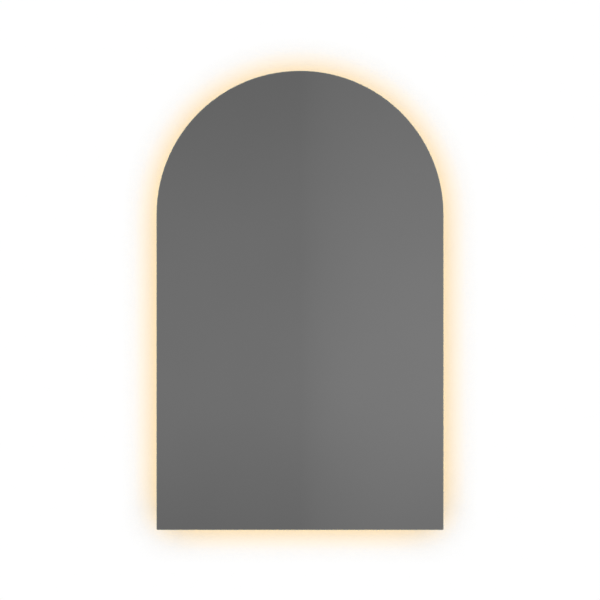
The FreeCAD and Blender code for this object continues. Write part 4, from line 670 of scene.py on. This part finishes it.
def ribs():
    """Ribs that stiffen the driver's lid, the grip of the junction box's cover, and the ridges on the levers."""
    tree = rib_tree()
    low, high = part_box("driver_lid")
    lid = {"Count": 18, "Spacing": 6 * MM, "Length": 30 * MM, "Width": 2.4 * MM, "Height": 0.6 * MM}
    half_row = (lid["Count"] - 1) / 2 * lid["Spacing"]
    first = ((low.x + high.x) / 2 - half_row, high.y, (low.z + high.z) / 2)
    grow("driver_lid_ribs", tree, "mirror", "driver_plastic", {**lid, "First": first})
    low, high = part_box("junction_cover")
    grip = {"Count": 4, "Spacing": 2.2 * MM, "Length": 40 * MM, "Width": 1.2 * MM, "Height": 0.5 * MM}
    grip_inset = 9 * MM
    first = (high.x - grip_inset, cover_face_y, (low.z + high.z) / 2)
    grow("cover_grip", tree, "cover", "box_plastic", {**grip, "First": first})
    ridges = {"Count": 3, "Spacing": 1.3 * MM, "Length": 5.2 * MM, "Width": 0.7 * MM, "Height": 0.25 * MM}
    ridge_inset = 3.2 * MM
    for name, slot in (("live", "brown_plastic"), ("neutral", "blue_plastic"), ("earth", "green_yellow_plastic")):
        low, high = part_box("terminal_lever_" + name)
        first = (low.x + ridge_inset, lever_face_y, (low.z + high.z) / 2)
        grow("lever_ridges_" + name, tree, name + "_lever", slot, {**ridges, "First": first})


def wound_coil():
    """The driver's choke: a ferrite ring with one layer of copper wire."""
    low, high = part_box("driver_coil")
    middle = (low + high) / 2
    half_core = 1.3 * MM
    ring = (high.x - low.x) / 4 + half_core
    core = {"Ring Radius": ring, "Width": 2 * half_core, "Height": 4.6 * MM, "Corner": 0.6 * MM, "Middle": middle}
    piece = grow("coil_core", core_tree(), "mirror", "ferrite_and_tape", core)
    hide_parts("driver_coil")
    wire = {"Ring Radius": ring, "Half Width": 1.62 * MM, "Half Height": 2.66 * MM, "Wire Radius": 0.3 * MM}
    grow("coil_winding", winding_tree(), "mirror", "coil_copper", {**wire, "Turns": 22, "Middle": middle})


# Stage


def stage_sheet(name, corners, material):
    """A flat sheet of the studio, which is no part of the mirror."""
    mesh = bpy.data.meshes.new(name)
    mesh.from_pydata(corners, [], [(0, 1, 2, 3)])
    mesh.materials.append(material)
    sheet = bpy.data.objects.new(name, mesh)
    bpy.context.scene.collection.objects.link(sheet)
    return sheet


def white_wall():
    """The wall that the halo falls on. It shows to the camera alone, and only from the front. Its white is light that
    the paint gives out, with painted shade where the mirror in front of it hides the room, and its halo comes from the
    lamps along the diffuser. The paint's colour follows the same painted shade. It takes less of their light beside
    the frame, where it would clip, and none far out, where the halo ends: a painted fall-off of the halo."""
    material = bpy.data.materials.new("white_wall_painted_shade")
    tree = bare_tree(material)
    place = put(tree, "ShaderNodeTexCoord").outputs["Object"]
    roller = put(tree, "ShaderNodeTexNoise", {"Vector": place, "Scale": 1 / (25 * MM)})
    white = put(tree, "ShaderNodeMix", (roller, "#FDFDFD", "#FFFFFF"), data_type="RGBA")
    # Painted shade: ambient occlusion darkens the wall's emitted white near the mirror, in place of a cast shadow.
    open_share = put(tree, "ShaderNodeAmbientOcclusion", {"Distance": shade_reach}, samples=16).outputs["AO"]
    # Painted fall-off of the halo: the paint's colour follows the same occlusion, low by the frame and nil far out.
    inner = put(tree, "ShaderNodeMapRange", (open_share, frame_share, edge_share, frame_response, 1.0))
    outer = put(tree, "ShaderNodeMapRange", (open_share, outer_share, 1.0, paint_response, 0.0))
    painted_halo_response = put(tree, "ShaderNodeMath", (inner, outer), operation="MULTIPLY")
    own_share = put(tree, "ShaderNodeMath", (painted_halo_response, -sky_level, paint_white), operation="MULTIPLY_ADD")
    # The emitted white, darkened by the occlusion as painted shade, never below the darkest level.
    painted_shade = put(tree, "ShaderNodeMath", (open_share, shade_depth), operation="POWER")
    painted_shade = put(tree, "ShaderNodeMath", (painted_shade, own_share), operation="MULTIPLY")
    painted_shade = put(tree, "ShaderNodeMath", (painted_shade, shade_darkest, shade_blend), operation="SMOOTH_MAX")
    painted_shade_glow = put(tree, "ShaderNodeEmission", (white, painted_shade))
    paint = put(tree, "ShaderNodeBsdfDiffuse", {"Color": painted_halo_response})
    lit = put(tree, "ShaderNodeAddShader", (paint, painted_shade_glow))
    clear = put(tree, "ShaderNodeBsdfTransparent")
    behind = put(tree, "ShaderNodeNewGeometry").outputs["Backfacing"]
    put(tree, "ShaderNodeOutputMaterial", {"Surface": put(tree, "ShaderNodeMixShader", (behind, lit, clear))})
    wall = stage_sheet("wall", [(x * wall_reach, wall_y, z * wall_reach) for x, z in sheet_corners], material)
    for ray in ("diffuse", "glossy", "transmission", "volume_scatter", "shadow"):
        setattr(wall, "visible_" + ray, False)
    return wall


def pale_floor():
    """Plain pale floor, well below the mirror."""
    f = Finish("pale_floor_paint", Roughness=0.8)
    clouds = f.put("ShaderNodeTexNoise", {"Vector": f.place, "Scale": 3.0})
    shades = f.put("ShaderNodeMix", (clouds, "#F1F1F0", "#F5F5F4"), data_type="RGBA")
    corners = [(x * floor_reach, y * floor_reach, floor_z) for x, y in sheet_corners]
    stage_sheet("floor", corners, f.set(Base_Color=shades)).visible_glossy = False


def studio_world():
    """White all round, for the camera and for diffuse light. The mirror reflects a dim room in front of it:
    brightest at eye height, darker above and below, and a step lighter to the right of the middle."""
    world = bpy.data.worlds.new("studio")
    bpy.context.scene.world = world
    tree = bare_tree(world)
    way = put(tree, "ShaderNodeTexCoord").outputs["Generated"]
    x, y, z = put(tree, "ShaderNodeSeparateXYZ", (way,)).outputs
    ahead = put(tree, "ShaderNodeMapRange", (y, 0.0, -1.0, 0.0, 1.0))
    ahead = put(tree, "ShaderNodeMath", (ahead, least_ahead), operation="MAXIMUM")
    across = put(tree, "ShaderNodeMath", (x, ahead), operation="DIVIDE")
    height = put(tree, "ShaderNodeMath", (z, ahead), operation="DIVIDE")
    upper, lower = [
        put(tree, "ShaderNodeMapRange", (height, eye_height, end, 1.0, gain), interpolation_type="SMOOTHSTEP")
        for end, gain in ((top_height, top_gain), (foot_height, foot_gain))
    ]
    upright = put(tree, "ShaderNodeMath", (upper, lower), operation="MULTIPLY")
    right = put(tree, "ShaderNodeMath", (across, 0.0), operation="MAXIMUM")
    fade = put(tree, "ShaderNodeMath", (right, -1 / right_fade), operation="MULTIPLY")
    fade = put(tree, "ShaderNodeMath", (fade,), operation="EXPONENT")
    step = put(tree, "ShaderNodeMapRange", (fade, 0.0, 1.0, right_gain, 1.0))
    left = put(tree, "ShaderNodeMapRange", (across, left_place, 0.0, left_gain, 1.0))
    sides = put(tree, "ShaderNodeMath", (step, left), operation="MULTIPLY")
    room = put(tree, "ShaderNodeMath", (upright, sides), operation="MULTIPLY")
    level = put(tree, "ShaderNodeMapRange", (y, *aside_turns, room_level, room_level_aside))
    room = put(tree, "ShaderNodeMath", (room, level), operation="MULTIPLY")
    behind = put(tree, "ShaderNodeMapRange", (y, *behind_turns, 0.0, 1.0))
    seen = put(tree, "ShaderNodeMix", (behind, room, room_behind), data_type="FLOAT")
    path = put(tree, "ShaderNodeLightPath").outputs
    around = put(tree, "ShaderNodeMix", (path["Is Glossy Ray"], sky_level, seen), data_type="FLOAT")
    strength = put(tree, "ShaderNodeMix", (path["Is Camera Ray"], around, 1.0), data_type="FLOAT")
    put(tree, "ShaderNodeOutputWorld", (put(tree, "ShaderNodeBackground", ("#FFFFFF", strength)),))


def soft_lamp(name, place, size, power, spared):
    """Square soft box aimed at the mirror. It leaves the spared object alone, and shows in no reflection."""
    light = bpy.data.lights.new(name, "AREA")
    light.size = size
    light.energy = power
    lamp = bpy.data.objects.new(name, light)
    bpy.context.scene.collection.objects.link(lamp)
    lamp.location = place
    lamp.rotation_euler = (glass_middle - Vector(place)).to_track_quat("-Z", "Y").to_euler()
    lamp.visible_camera = lamp.visible_glossy = False
    lit = bpy.data.collections.new(name + "_spares")
    lit.objects.link(spared)
    lamp.light_linking.receiver_collection = lit
    lit.collection_objects[0].light_linking.link_state = "EXCLUDE"


def halo_lamps(wall):
    """Lamps along the diffuser's outer face, which send its light to the wall alone and move with the mirror.
    The arch has a lamp for each few degrees. Each straight side has one, which goes a little past its corners."""
    only_wall = bpy.data.collections.new("halo_falls_on")
    only_wall.objects.link(wall)
    low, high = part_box("diffuser_arch")
    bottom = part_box("diffuser_bottom")[0].z
    radius = high.x + halo_gap
    depth = high.y - low.y
    turns = [math.pi * (i + 0.5) / halo_arch_lamps for i in range(halo_arch_lamps)]
    centre = Vector((0, (low.y + high.y) / 2, arch_centre_z))
    ways = [Vector((math.cos(turn), 0, math.sin(turn))) for turn in turns]
    lamps = [(centre + radius * way, way, math.pi * radius / halo_arch_lamps, halo_arch_gain) for way in ways]
    leg = arch_centre_z - bottom + halo_past_corner
    for side in (-1, 1):
        way = Vector((side, 0, 0))
        lamps.append((centre + radius * way + Vector((0, 0, -leg / 2)), way, leg, 1))
    width = 2 * (high.x + halo_past_corner)
    lamps.append((Vector((0, centre.y, bottom - halo_gap)), Vector((0, 0, -1)), width, 1))
    for number, (place, way, length, gain) in enumerate(lamps):
        light = bpy.data.lights.new("halo_lamp", "AREA")
        light.shape = "RECTANGLE"
        light.size, light.size_y = length, depth
        light.color = linear(halo_colour)[:3]
        light.energy = halo_strength * gain * length * depth
        lamp = bpy.data.objects.new("halo_lamp_%02d" % number, light)
        bpy.context.scene.collection.objects.link(lamp)
        along = Vector((0, 1, 0)).cross(-way)
        turn = Matrix((along, (0, 1, 0), -way)).transposed()
        lamp.matrix_world = Matrix.Translation(place) @ turn.to_4x4()
        lamp.visible_camera = lamp.visible_glossy = False
        lamp.light_linking.receiver_collection = only_wall
        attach(lamp, "mirror")


def photo_camera():
    """Straight on, a little above the middle of the glass, as in the photo."""
    data = bpy.data.cameras.new("camera")
    data.lens = camera_lens
    data.sensor_width = camera_sensor
    camera = bpy.data.objects.new("camera", data)
    bpy.context.scene.collection.objects.link(camera)
    distance = photo_span * camera_lens / camera_sensor
    camera.location = (0, glass_low.y - distance, glass_middle.z + photo_rise)
    camera.rotation_euler = (math.pi / 2, 0, 0)
    bpy.context.scene.camera = camera


photo_camera()
finishes = make_finishes()
finish_nodes(finishes)
solder_pads()
ribs()
wound_coil()
wall = white_wall()
pale_floor()
studio_world()
halo_lamps(wall)
for name, box in soft_boxes.items():
    soft_lamp(name, spared=wall, **box)
bpy.context.scene.view_settings.view_transform = "Standard"
